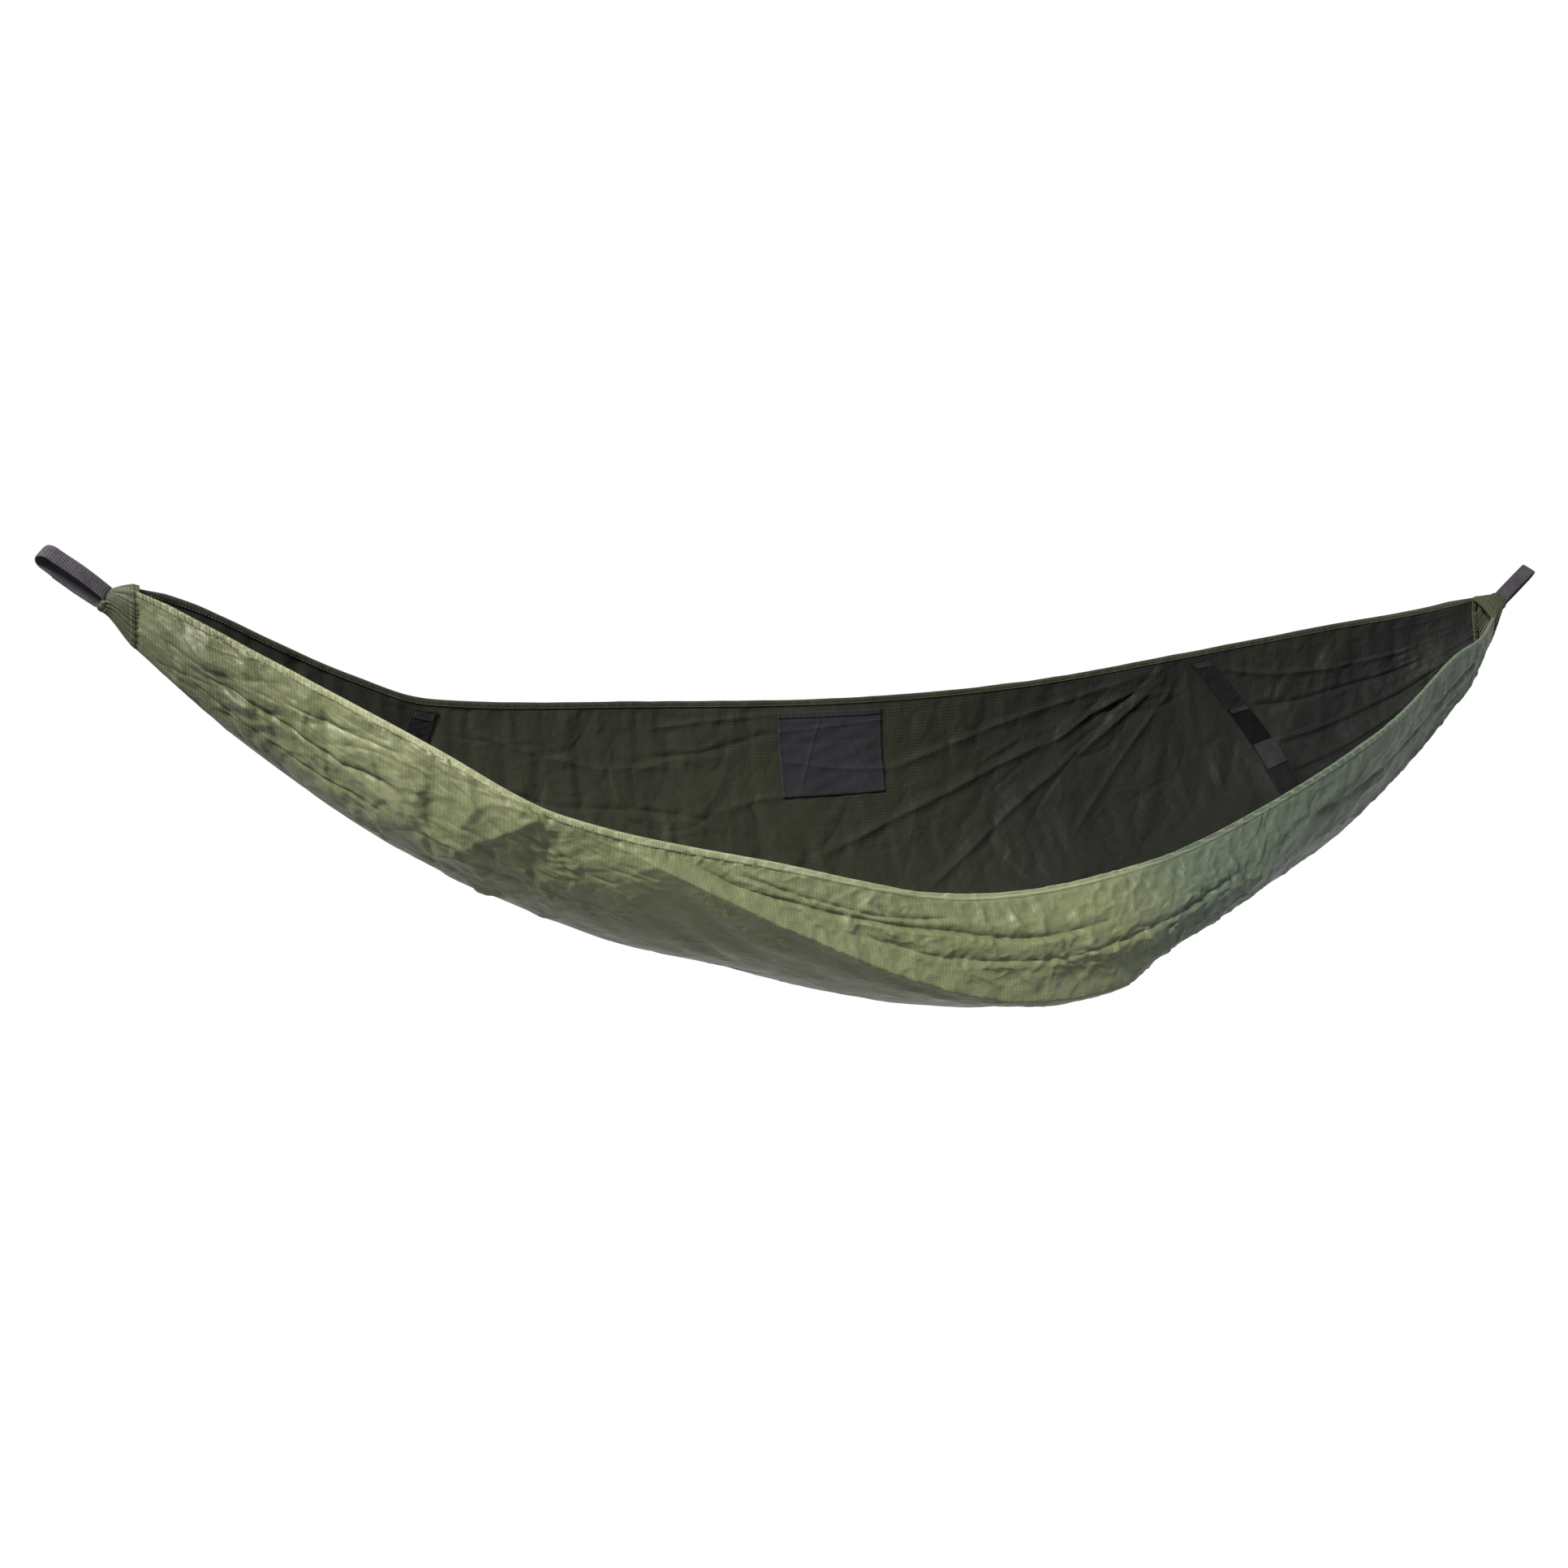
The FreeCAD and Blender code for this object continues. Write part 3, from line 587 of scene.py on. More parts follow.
def cloth_material(name, base, other, rough=0.5, sheen=0.01, pitch=0.005, line=0.25, bump=0.35, folds=0.25,
                   spec=0.2, tone=None, use_uv=True, ior=1.3):
    """Thin nylon: uneven colour, a ripstop grid, fine crinkles and a soft sheen. The mesh's tone attribute
    paints light and shade: above 0 it turns the colour to that of tone (a painted cool-light tint on the
    outer cloth and hem, painted shade on the lining), and below 0 it darkens it with painted shade."""
    material, tree, shader = new_material(name, ior, spec, sheen, 0.45)
    coords = add_node(tree, "ShaderNodeTexCoord")
    place = coords.outputs["Object"]
    weave = coords.outputs["UV"] if use_uv else place
    lines = grid_lines(tree, weave, pitch, 0.12)
    cloudy = noise(tree, place, 7.0, 5.0)
    fine = noise(tree, weave, 900.0, 2.0)
    colour = mix_colour(tree, ramp(tree, cloudy, 0.3, 0.7), (*base, 1), (*other, 1))
    # painted light and shade, carried by the tone attribute
    if tone is not None:
        value = add_node(tree, "ShaderNodeAttribute", attribute_name="tone").outputs["Fac"]
        uneven = math_node(tree, "ADD", value, ramp(tree, cloudy, 0.2, 0.8, -0.15, 0.15))
        colour = mix_colour(tree, ramp(tree, uneven, 0.1, 0.9), colour, (*tone, 1))
        # painted shade: tone below 0 darkens the colour
        shaded = ramp(tree, math_node(tree, "MULTIPLY", value, -1.0), 0.0, 1.0, 0.0, 0.8)
        colour = mix_colour(tree, shaded, colour, (*[c * 0.3 for c in base], 1))
    grain = ramp(tree, fine, 0.3, 0.7, 0.0, 0.30)
    colour = mix_colour(tree, grain, colour, (*[c * 0.55 for c in base], 1))
    bright = [min(1.0, c * 1.75) for c in other]
    colour = mix_colour(tree, math_node(tree, "MULTIPLY", lines, line), colour, (*bright, 1))
    tree.links.new(colour, shader.inputs["Base Color"])
    mottle = ramp(tree, noise(tree, place, 26.0, 3.0), 0.3, 0.7, rough - 0.07, rough + 0.09)
    tree.links.new(mottle, shader.inputs["Roughness"])
    crumples = math_node(tree, "ADD", crinkle(tree, place, 34.0),
                         math_node(tree, "MULTIPLY", crinkle(tree, place, 90.0), 0.35))
    first = add_node(tree, "ShaderNodeBump", {"Strength": folds, "Distance": 0.004, "Height": crumples})
    threads = math_node(tree, "ADD", math_node(tree, "MULTIPLY", lines, 0.6), fine)
    second = add_node(tree, "ShaderNodeBump", {"Strength": bump, "Distance": 0.0006, "Height": threads,
                                               "Normal": first.outputs[0]})
    tree.links.new(second.outputs[0], shader.inputs["Normal"])
    return material


def web_material(name, base, other, rough=0.6, sheen=0.02, scale=700.0, bump=0.5, spec=0.15):
    """Woven webbing, tape or thread: broken colour, a fine weave and a soft sheen."""
    material, tree, shader = new_material(name, 1.15, spec, sheen, 0.5)
    place = add_node(tree, "ShaderNodeTexCoord").outputs["Object"]
    fine = noise(tree, place, scale, 3.0, 0.6)
    cloudy = noise(tree, place, 45.0, 4.0)
    mixed = math_node(tree, "ADD", math_node(tree, "MULTIPLY", fine, 0.65),
                      math_node(tree, "MULTIPLY", cloudy, 0.35))
    colour = mix_colour(tree, ramp(tree, mixed, 0.35, 0.65), (*base, 1), (*other, 1))
    tree.links.new(colour, shader.inputs["Base Color"])
    tree.links.new(ramp(tree, fine, 0.2, 0.8, rough - 0.08, rough + 0.12), shader.inputs["Roughness"])
    height = add_node(tree, "ShaderNodeBump", {"Strength": bump, "Distance": 0.0005, "Height": fine})
    tree.links.new(height.outputs[0], shader.inputs["Normal"])
    return material


# the last colour, tone, is a cool tint painted where the cool lamp falls on the right: painted light
outer_material = cloth_material("olive_ripstop", (0.038, 0.0425, 0.0195), (0.050, 0.0545, 0.0285), rough=0.46,
                                line=0.24, folds=0.44, spec=0.35, tone=(0.0185, 0.0270, 0.0210))
# the gathered ends are the outer cloth bunched into pleats, painted about four times darker than it: painted
# shade in the gathers
channel_material = cloth_material("olive_channel", (0.0105, 0.0115, 0.0065), (0.0180, 0.0195, 0.0115),
                                  line=0.2, bump=0.3, folds=0.2, spec=0.18, use_uv=False)
# the hem is the outer cloth rolled over, painted about 1.5 times lighter than it: painted light on the rim;
# its tone colour is the painted cool tint
hem_material = cloth_material("olive_hem", (0.058, 0.063, 0.034), (0.088, 0.093, 0.057), sheen=0.02,
                              pitch=0.004, bump=0.4, tone=(0.024, 0.036, 0.027), use_uv=False)
# the rear hem is the same rolled cloth, painted near-black: painted shade along the rear rim
rear_hem_material = cloth_material("dark_olive_hem", (0.0060, 0.0066, 0.0042), (0.0125, 0.0135, 0.0085),
                                   pitch=0.004, bump=0.4, spec=0.15, use_uv=False)
# the lining is black cloth: its olive-tinted base is painted light that comes through the outer cloth, and
# its near-black tone colour is painted shade where less comes through
lining_material = cloth_material("dark_lining", (0.0066, 0.0070, 0.0045), (0.0102, 0.0106, 0.0074),
                                 rough=0.42, sheen=0.0, line=0.3, bump=0.25, spec=0.11, ior=1.25,
                                 tone=(0.0017, 0.0016, 0.0026))
pocket_material = cloth_material("black_pocket", (0.0058, 0.0056, 0.0066), (0.0085, 0.0082, 0.0096),
                                 rough=0.55, pitch=0.004, line=0.2, bump=0.3, spec=0.10)
webbing_material = web_material("loop_webbing", (0.0085, 0.0078, 0.0096), (0.026, 0.0235, 0.029), sheen=0.03)
pile_material = web_material("pile_tape", (0.0015, 0.0015, 0.0016), (0.0065, 0.0065, 0.0070), rough=0.95,
                             sheen=0.01, scale=1500.0, bump=1.0, spec=0.04)
hook_material = web_material("hook_tape", (0.004, 0.004, 0.0045), (0.012, 0.012, 0.013), scale=900.0,
                             bump=0.8, spec=0.08)
elastic_material = web_material("elastic_webbing", (0.0010, 0.0010, 0.0011), (0.0030, 0.0030, 0.0034),
                                rough=0.7, sheen=0.0, spec=0.06)
strap_material = web_material("strap_webbing", (0.0018, 0.0018, 0.0020), (0.0048, 0.0048, 0.0052),
                              rough=0.65, sheen=0.0, spec=0.08)
thread_material = web_material("dark_thread", (0.0035, 0.0035, 0.0036), (0.0105, 0.0105, 0.0110), rough=0.65,
                               spec=0.1)
olive_thread = web_material("olive_thread", (0.040, 0.043, 0.024), (0.075, 0.078, 0.050))


def piece(name, mesh, material, body, slot, *nodes, uvs=None, tone=None):
    """A visible piece from (vertices, faces): its material, the body it rides on, what it replaces."""
    obj = make_object(name, *mesh, uvs, tone)
    obj.data.materials.append(material)
    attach(obj, body)
    if nodes:
        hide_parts(*nodes)
    return obj


# ================================================================ cloth simulation
SIM_GRID = (170, 84)
SIM_FRAMES = 24
SIM_SETTINGS = {"quality": 5, "mass": 0.12, "tension_stiffness": 12, "compression_stiffness": 12,
                "shear_stiffness": 6, "bending_stiffness": 0.6, "shrink_min": -0.005, "air_damping": 2.0,
                "vertex_group_mass": "pins"}
SIM_MOST = 4.0            # the simulated detail is kept within this many mm


def soften(field, rounds):
    """A smoothed copy of a grid."""
    low = field.copy()
    for _ in range(rounds):
        low[1:-1] = (low[:-2] + 2 * low[1:-1] + low[2:]) / 4
        low[:, 1:-1] = (low[:, :-2] + 2 * low[:, 1:-1] + low[:, 2:]) / 4
    return low


def simulated_sag():
    """How far a slack copy of the wall, pinned at its edges, buckles: mm outward on the fine grid."""
    nx, nv = SIM_GRID
    x, v = np.meshgrid(np.linspace(-BED_HALF, BED_HALF, nx), np.linspace(-1, 1, nv), indexing="ij")
    normal = inward(x, v)
    rest = to_row(wall(x, v) - normal * sample(SHARED, x, v)[..., None])
    index = np.arange(nx * nv).reshape(nx, nv)
    quads = np.stack([index[:-1, :-1], index[1:, :-1], index[1:, 1:], index[:-1, 1:]], -1).reshape(-1, 4)
    mesh = bpy.data.meshes.new("sim")
    mesh.from_pydata(rest.reshape(-1, 3).tolist(), [], quads.tolist())
    obj = bpy.data.objects.new("sim", mesh)
    scene = bpy.context.scene
    scene.collection.objects.link(obj)
    edge = np.concatenate([index[0], index[-1], index[:, 0], index[:, -1]])
    obj.vertex_groups.new(name="pins").add(sorted(set(edge.tolist())), 1.0, "REPLACE")
    modifier = obj.modifiers.new("cloth", "CLOTH")
    for key, value in SIM_SETTINGS.items():
        setattr(modifier.settings, key, value)
    modifier.collision_settings.use_self_collision = False
    modifier.point_cache.frame_start = 1
    modifier.point_cache.frame_end = SIM_FRAMES
    for step in range(1, SIM_FRAMES + 1):
        scene.frame_set(step)
    evaluated = obj.evaluated_get(bpy.context.evaluated_depsgraph_get())
    moved = np.zeros(nx * nv * 3)
    evaluated.data.vertices.foreach_get("co", moved)
    out = -((moved.reshape(nx, nv, 3) - rest) / MM * normal).sum(-1)
    scene.frame_set(1)
    bpy.data.objects.remove(obj)
    bpy.data.meshes.remove(mesh)
    detail = np.clip(out - 0.7 * soften(out, 14), -SIM_MOST, SIM_MOST)
    fx = (XS + BED_HALF) / (2 * BED_HALF) * (nx - 1)
    fv = (VS + 1) / 2 * (nv - 1)
    wide = np.stack([np.interp(fx, np.arange(nx), detail[:, j]) for j in range(nv)], 1)
    return np.stack([np.interp(fv, np.arange(nv), wide[i]) for i in range(NX)], 0)


SHARED += simulated_sag()

# The straps and the pocket hold the cloth flatter beside them.
for middle, lean in STRAPS.values():
    lean_part = np.clip((1 - GV) / STRAP_LEAN_V, 0, 1)
    off_strap = np.abs(GX - middle - lean * lean_part * (2 - lean_part)) - STRAP_WIDE / 2
    beside = (1 - np.clip((off_strap - 2) / 34, 0, 1)) ** 2
    SHARED *= 1 - 0.88 * beside * smooth_step(GV, -0.30, 0.05)
off_pocket = np.hypot(np.clip(np.abs(GX - POCKET_X) - POCKET_WIDE / 2, 0, None),
                      np.clip((1 - GV) * HALF_CUT - POCKET_BELOW - POCKET_TALL, 0, None))
SHARED *= 1 - 0.45 * (1 - np.clip(off_pocket / 50, 0, 1))
# The rims and the gathers hold the cloth, so the folds die out there.
hold_rim = np.clip((1 - np.abs(GV)) / 0.03, 0.25, 1)
hold_end = np.clip((BED_HALF - np.abs(GX)) / 60, 0.35, 1)
SHARED = np.clip(SHARED * hold_rim * hold_end, -18, 24)
OWN_LINING = np.clip(OWN_LINING, -0.5, 2.5) * hold_end
OWN_OUTER *= hold_end

# ================================================================ the two layers of cloth
NORMAL = inward(GX, GV)
BASE = wall(GX, GV)


def layer(depth, extra):
    return to_row(BASE + NORMAL * (depth - SHARED + extra)[..., None])


length_along = np.concatenate([[0], np.cumsum(np.hypot(np.diff(XS), np.diff(rail(KEEL, XS)[1])))])
CLOTH_UV = both_sides(np.stack([np.repeat(length_along[:, None], NV, 1), GS], -1) * MM, 2)

# painted light and shade: tone above 0 paints the cool tint of the cool lamp on the right half of the front
# wall, below 0 it paints shade on the bottom of the bed and at the far left end
front_part = smooth_step(-GV, -0.30, -0.05)
cool_light_tint = smooth_step(GX, 40, 360) * front_part
painted_shade = np.maximum(smooth_step(GV, -0.30, -0.12) * front_part * 0.7, smooth_step(-GX, 900, 1090))
outer_light_and_shade = cool_light_tint - painted_shade * (1 - cool_light_tint)
outer_cloth = piece("outer_cloth", shell(layer(0.0, -OWN_OUTER), layer(CLOTH_THICK, 0.0)), outer_material,
                    "bed", "outer_fabric", "outer_shell", uvs=CLOTH_UV, tone=both_sides(outer_light_and_shade))

# painted shade: the lining is painted black past the right strap, and darker on the floor, at the right and
# at the far left, where less light comes through the cloth
edge_right = 764 + np.clip(GV - 0.44, -0.3, 0.6) * 430
lining_painted_shade = smooth_step(GX, edge_right - 15, edge_right + 15)
lining_painted_shade = np.maximum(lining_painted_shade, smooth_step(-GX, 745, 775) * 0.5)
lining_painted_shade = np.maximum(lining_painted_shade, smooth_step(-GV, -0.12, 0.10) * 0.8)
lining_painted_shade = np.maximum(lining_painted_shade, smooth_step(GX, -300, 520) * 0.75)
lining_mesh = shell(layer(LINING_IN - CLOTH_THICK, OWN_LINING * 0.6), layer(LINING_IN, OWN_LINING))
lining = piece("lining", lining_mesh, lining_material, "bed", "lining", "inner_shell", uvs=CLOTH_UV,
               tone=both_sides(lining_painted_shade))


# ================================================================ hems
def cloth_place(x, v, depth, on_lining=True):
    """Points at a depth inside the bed, following the folds, in design millimetres."""
    lift = sample(SHARED, x, v)
    own = sample(OWN_LINING, x, v) if on_lining else -sample(OWN_OUTER, x, v)
    return wall(x, v) + inward(x, v) * (depth - lift + own)[..., None]


def step_v(x, v, distance):
    """v moved by a distance in mm along the section, towards the keel."""
    here, there = wall(x, v), wall(x, v - np.sign(v) * 0.01)
    return v - np.sign(v) * 0.01 * distance / np.linalg.norm(there - here, axis=-1)


HEM_DOWN = 6.0
HEM_MIDDLE = 2.6          # depth of the middle of the two layers
HEM_WALL = 0.7
HEM_SECTION = [(-0.7, -HEM_DOWN), (-0.8, -3.0), (-0.9, 0.0), (-0.9, 2.0), (-0.3, 3.8), (1.4, 5.2), (3.6, 5.2),
               (5.6, 3.8), (6.4, 2.0), (6.4, 0.0), (6.2, -3.0), (6.0, -HEM_DOWN)]


def hem(name, side, node, material, count):
    """Both cut edges rolled into one hem: a folded strip that straddles the two layers."""
    x = np.linspace(-BED_HALF + 0.5, BED_HALF - 0.5, count)
    r = np.random.default_rng(5 if side < 0 else 6)
    pucker = np.interp(x, np.linspace(-BED_HALF, BED_HALF, 330), r.normal(0, 0.45, 330))
    swell = np.interp(x, np.linspace(-BED_HALF, BED_HALF, 90), r.normal(0, 0.5, 90))
    fade = np.clip((BED_HALF - np.abs(x)) / 40, 0.0, 1)
    outline, inline = [], []
    for depth, up in HEM_SECTION:
        lean = np.sign(depth - HEM_MIDDLE)
        bulge = (pucker + swell * 0.5) * np.clip((up + HEM_DOWN) / 12, 0, 1) * fade
        d = depth + lean * bulge
        rise = (max(up, 0.0) + (swell * 0.4 if up > 3 else 0)) * fade
        v = np.full(x.shape, side)
        if up < 0:
            v = step_v(x, v, -up)
        outline.append(cloth_place(x, v, d) + np.stack([x * 0, x * 0, rise], -1))
        low = rise - (HEM_WALL if up > 3.5 else 0)
        inline.append(cloth_place(x, v, d - lean * HEM_WALL) + np.stack([x * 0, x * 0, low], -1))
    rings = np.stack(outline + inline[::-1], 1)
    # painted light and shade, as on the outer cloth: the cool tint on the right, painted shade at the far
    # left end
    tone = smooth_step(x, 40, 360) - smooth_step(-x, 900, 1090)
    return piece(name, tube(to_row(rings)), material, "bed", "hem", node,
                 tone=np.repeat(tone[:, None], rings.shape[1], 1))


HEM_COUNT = 1100
front_hem = hem("front_hem", -1.0, "front_rim_hem", hem_material, HEM_COUNT)
rear_hem = hem("rear_hem", 1.0, "rear_rim_hem", rear_hem_material, HEM_COUNT)


stitch_parts = []
for side in (-1.0, 1.0):
    x = np.arange(-BED_HALF + 6, BED_HALF - 6, 4.2)
    v = step_v(x, np.full(x.shape, side), HEM_DOWN - 2.0)
    for depth, outwards, on_lining in ((-1.25, -1, False), (LINING_IN + 1.25, 1, True)):
        here = cloth_place(x, v, np.full(x.shape, depth), on_lining)
        ahead = cloth_place(x + 0.8, v, np.full(x.shape, depth), on_lining)
        stitch_parts.append(dashes(to_row(here), ahead - here, inward(x, v) * outwards,
                                   2.7 * MM, 0.7 * MM, 0.8 * MM))
piece("hem_stitches", join(stitch_parts), olive_thread, "bed", "thread")


# ================================================================ end loops
class End:
    """Directions at one end: out along the loop, flat off the webbing's face, wide across it."""

    def __init__(self, sign):
        self.sign = sign
        self.pivot = np.array([sign * LOOP_X, 0.0, LOOP_Z[sign]])
        self.out = np.array([sign * math.cos(LOOP_RISE), 0.0, math.sin(LOOP_RISE)])
        self.lift = np.array([-sign * math.sin(LOOP_RISE), 0.0, math.cos(LOOP_RISE)])
        self.front = np.array([0.0, -1.0, 0.0])
        self.flat = self.front * math.cos(LOOP_ROLL) + self.lift * math.sin(LOOP_ROLL)
        self.wide = self.lift * math.cos(LOOP_ROLL) - self.front * math.sin(LOOP_ROLL)

    def place(self, along, off, across):
        along, off, across = (np.asarray(a, float)[..., None] for a in (along, off, across))
        return self.pivot + self.out * along + self.flat * off + self.wide * across


def loop_line(spacing):
    """The middle line of the webbing in its own plane: (along, off), its normal, and the share of a lap."""
    r = EYE_R + WEB_THICK / 2
    half = LOOP_LONG + math.pi * r
    count = int(2 * half / spacing)
    share = np.arange(count) / count
    first = share < 0.5
    run = 2 * half * share - np.where(first, 0, half)
    leg, turn = np.minimum(run, LOOP_LONG), np.maximum(run - LOOP_LONG, 0) / r
    sign = np.where(first, 1.0, -1.0)
    along = np.where(first, leg + r * TIP_POINT * np.sin(turn), LOOP_LONG - leg - r * np.sin(turn))
    return along, sign * r * np.cos(turn), sign * np.sin(turn), sign * np.cos(turn), share, 2 * half


def rib_rise(share):
    """The height of a rib over one pitch, 0 to 1."""
    return np.sqrt(np.clip(np.sin(math.pi * (share % 1.0)), 0, 1))


def webbing_loop(side, end):
    along, off, na, no, share, total = loop_line(0.35)
    rib = 0.62 * rib_rise(share * round(total / RIB)) - 0.50
    pinch = np.exp(-((along - LOOP_LONG - 8) / 26) ** 2)
    bow = 1.8 * np.sin(math.pi * np.clip(along / LOOP_LONG, 0, 1)) * np.sign(off) * (1 - pinch)
    rings = []
    for face in (1, -1):
        for w in np.linspace(-1, 1, 11)[::face]:
            edge = 1 - 0.5 * abs(w) ** 8
            n = face * WEB_THICK / 2 * edge + (rib * edge if face > 0 else rib * 0.35)
            rings.append(end.place(along + na * n, off + bow + no * n, np.full_like(along, w * WEB_WIDE / 2)))
    piece(side + "_webbing", band(to_row(np.stack(rings, 1))), webbing_material,
          side + "_loop", "loop_webbing", side + "_webbing_loop")


LAP_LONG = 34.0
LAP_PLACE = 0.55
LAP_MIDDLE = LOOP_LONG * LAP_PLACE
LAP_LIFT = 0.35           # gap between the lap and the band under it
LAP_BASE = EYE_R + WEB_THICK + LAP_LIFT


def loop_lap(side, end):
    """The second thickness of webbing on the rear leg, with its ribs."""
    a = np.linspace(-0.5, 0.5, 180) * LAP_LONG
    ribs = 0.5 * rib_rise((a + 40) / RIB) - 0.45
    ends = np.clip((LAP_LONG / 2 - np.abs(a)) / 0.8, 0, 1) ** 0.5
    top, bottom = [], []
    for w in np.linspace(-1, 1, 11):
        rise = (WEB_THICK - LAP_LIFT + ribs) * (1 - 0.5 * abs(w) ** 8) * (0.55 + 0.45 * ends)
        across = np.full_like(a, w * (WEB_WIDE / 2 - 0.2))
        top.append(end.place(LAP_MIDDLE + a, -(LAP_BASE + rise), across))
        bottom.append(end.place(LAP_MIDDLE + a, np.full_like(a, -LAP_BASE), across))
    piece(side + "_lap", shell(to_row(np.stack(top, 1)), to_row(np.stack(bottom, 1))), webbing_material,
          side + "_loop", "loop_webbing", side + "_loop_lap")


def lap_thread(side, end):
    """The crossed box of thread that closes the band."""
    long, wide = LAP_LONG / 2 - 4, WEB_WIDE / 2 - 4
    corners = [(-long, -wide), (long, -wide), (long, wide), (-long, wide)]
    parts = []
    for first, last in ((0, 1), (1, 2), (2, 3), (3, 0), (0, 2), (3, 1)):
        (a0, w0), (a1, w1) = corners[first], corners[last]
        n = int(math.hypot(a1 - a0, w1 - w0) / 2.6)
        t = (np.arange(n) + 0.5) / n
        p = end.place(LAP_MIDDLE + a0 + (a1 - a0) * t, np.full(n, -(LAP_BASE + WEB_THICK - 0.15)),
                      w0 + (w1 - w0) * t)
        along = np.tile(end.out * (a1 - a0) + end.wide * (w1 - w0), (n, 1))
        parts.append(dashes(to_row(p), along, np.tile(-end.flat, (n, 1)), 2.2 * MM, 0.8 * MM, 1.0 * MM))
    piece(side + "_lap_thread", join(parts), thread_material, side + "_loop", "thread",
          side + "_lap_stitching")


# ================================================================ gathered ends
SLEEVE_HALF = math.radians(52.0)
SLEEVE_WALL = 3.0
SLEEVE_PLAY = 0.6
RING = 132
GATHER_PLEATS = 22
GATHER_STEPS = 26
HOLLOW_TO = 0.70          # share of the gather that is hollow, from the bed
SEAM_RING = 4             # where the stitched band starts, and how many of the gather's rings it covers
SEAM_RINGS = 5


def pleat_wave(angle, count, seed):
    """Uneven pleats round a gather: rounded tops with sharp valleys, -1 to 1."""
    r = np.random.default_rng(seed)
    warp = sum(r.uniform(0.1, 0.3) / (k + 1) * np.sin(angle * (k + 1) + r.uniform(0, 6)) for k in range(5))
    wave = np.abs(np.sin((angle + warp * 0.6) * count / 2))
    swell = 0.75 + 0.25 * np.sin(angle * 3 + r.uniform(0, 6))
    return (2 * np.sqrt(wave) - 1) * swell


def end_ring(sign, x):
    """The bed's own section closed over the top, as radii about its middle: centre z, angles, radii."""
    u = wall(np.full(90, sign * x), np.linspace(-1, 1, 90))
    top = np.linspace(0, 1, 30)[1:-1, None]
    bridge = u[-1] + (u[0] - u[-1]) * top + np.array([0, 0, 1.0]) * (4 * np.sin(math.pi * top))
    ring = np.concatenate([u, bridge])
    centre = (ring[:, 2].max() + ring[:, 2].min()) / 2
    angle = np.arctan2(ring[:, 2] - centre, ring[:, 1])
    order = np.argsort(angle)
    return centre, angle[order], np.hypot(ring[:, 1], ring[:, 2] - centre)[order]


def spokes(ring, middle):
    """Unit directions from a middle to a ring of points, square to X, and the distances."""
    spoke = ring - middle
    spoke[:, 0] = 0
    size = np.linalg.norm(spoke, axis=1)[:, None]
    return spoke / size, size


def gather(end):
    """The bunched channel: pleats that run from the bed round the bend of the webbing."""
    sign = end.sign
    theta = np.linspace(-math.pi, math.pi, RING, endpoint=False)
    centre, angle, radius = end_ring(sign, BED_HALF - 2)
    r0 = np.interp(theta, angle, radius, period=2 * math.pi)
    wave = pleat_wave(theta, GATHER_PLEATS, 21 if sign < 0 else 22)
    near_x = np.full(RING, sign * (BED_HALF - 8))
    start = np.stack([near_x, r0 * np.cos(theta), centre + r0 * np.sin(theta)], -1)
    # the far outline, a rounded square in the loop's own directions, on a round face about the bend
    grip = EYE_R + WEB_THICK + SLEEVE_PLAY + SLEEVE_WALL * 0.5
    round_x = np.stack([np.zeros(RING), np.cos(theta), np.sin(theta)], -1)
    spin = np.stack([round_x @ end.flat, round_x @ end.wide], -1)
    spin /= np.linalg.norm(spin, axis=1)[:, None]
    half_off, half_wide = 12.5, WEB_WIDE / 2 + 2.6
    scale = ((np.abs(spin[:, 0]) / half_off) ** 4 + (np.abs(spin[:, 1]) / half_wide) ** 4) ** -0.25
    off, across = spin[:, 0] * scale, spin[:, 1] * scale

    def on_face(share):
        o, w = off * share, across * share
        return end.place(-np.sqrt(np.maximum(grip ** 2 - o ** 2, 1.0)), o, w)

    finish = on_face(1.0)
    outer_rings, inner_rings = [], []
    for k in range(GATHER_STEPS):
        t = k / (GATHER_STEPS - 1)
        ease = t * t * (3 - 2 * t)
        ring = start * (1 - ease) + finish * ease
        ring[:, 0] = start[:, 0] * (1 - t) + finish[:, 0] * t
        spoke, size = spokes(ring, ring.mean(0))
        deep = 1.0 + 1.9 * math.sin(math.pi * min(1, t * 0.75 + 0.1))
        outer_rings.append(ring + spoke * (wave * deep + 2.0 * math.sin(math.pi * t))[:, None])
        if t < HOLLOW_TO:
            inner_rings.append(ring - spoke * (np.minimum(6.5, size * 0.4) - (wave * deep * 0.8)[:, None]))
    tip = outer_rings[len(inner_rings) + 1].mean(0)
    for share in (0.4, 0.15):
        inner_rings.append(tip + (inner_rings[-1] - inner_rings[-1].mean(0)) * share)
    for share in (0.93, 0.75, 0.5, 0.25, 0.05):
        outer_rings.append(on_face(share))
    return tube(to_row(np.stack(inner_rings[::-1] + outer_rings))), outer_rings


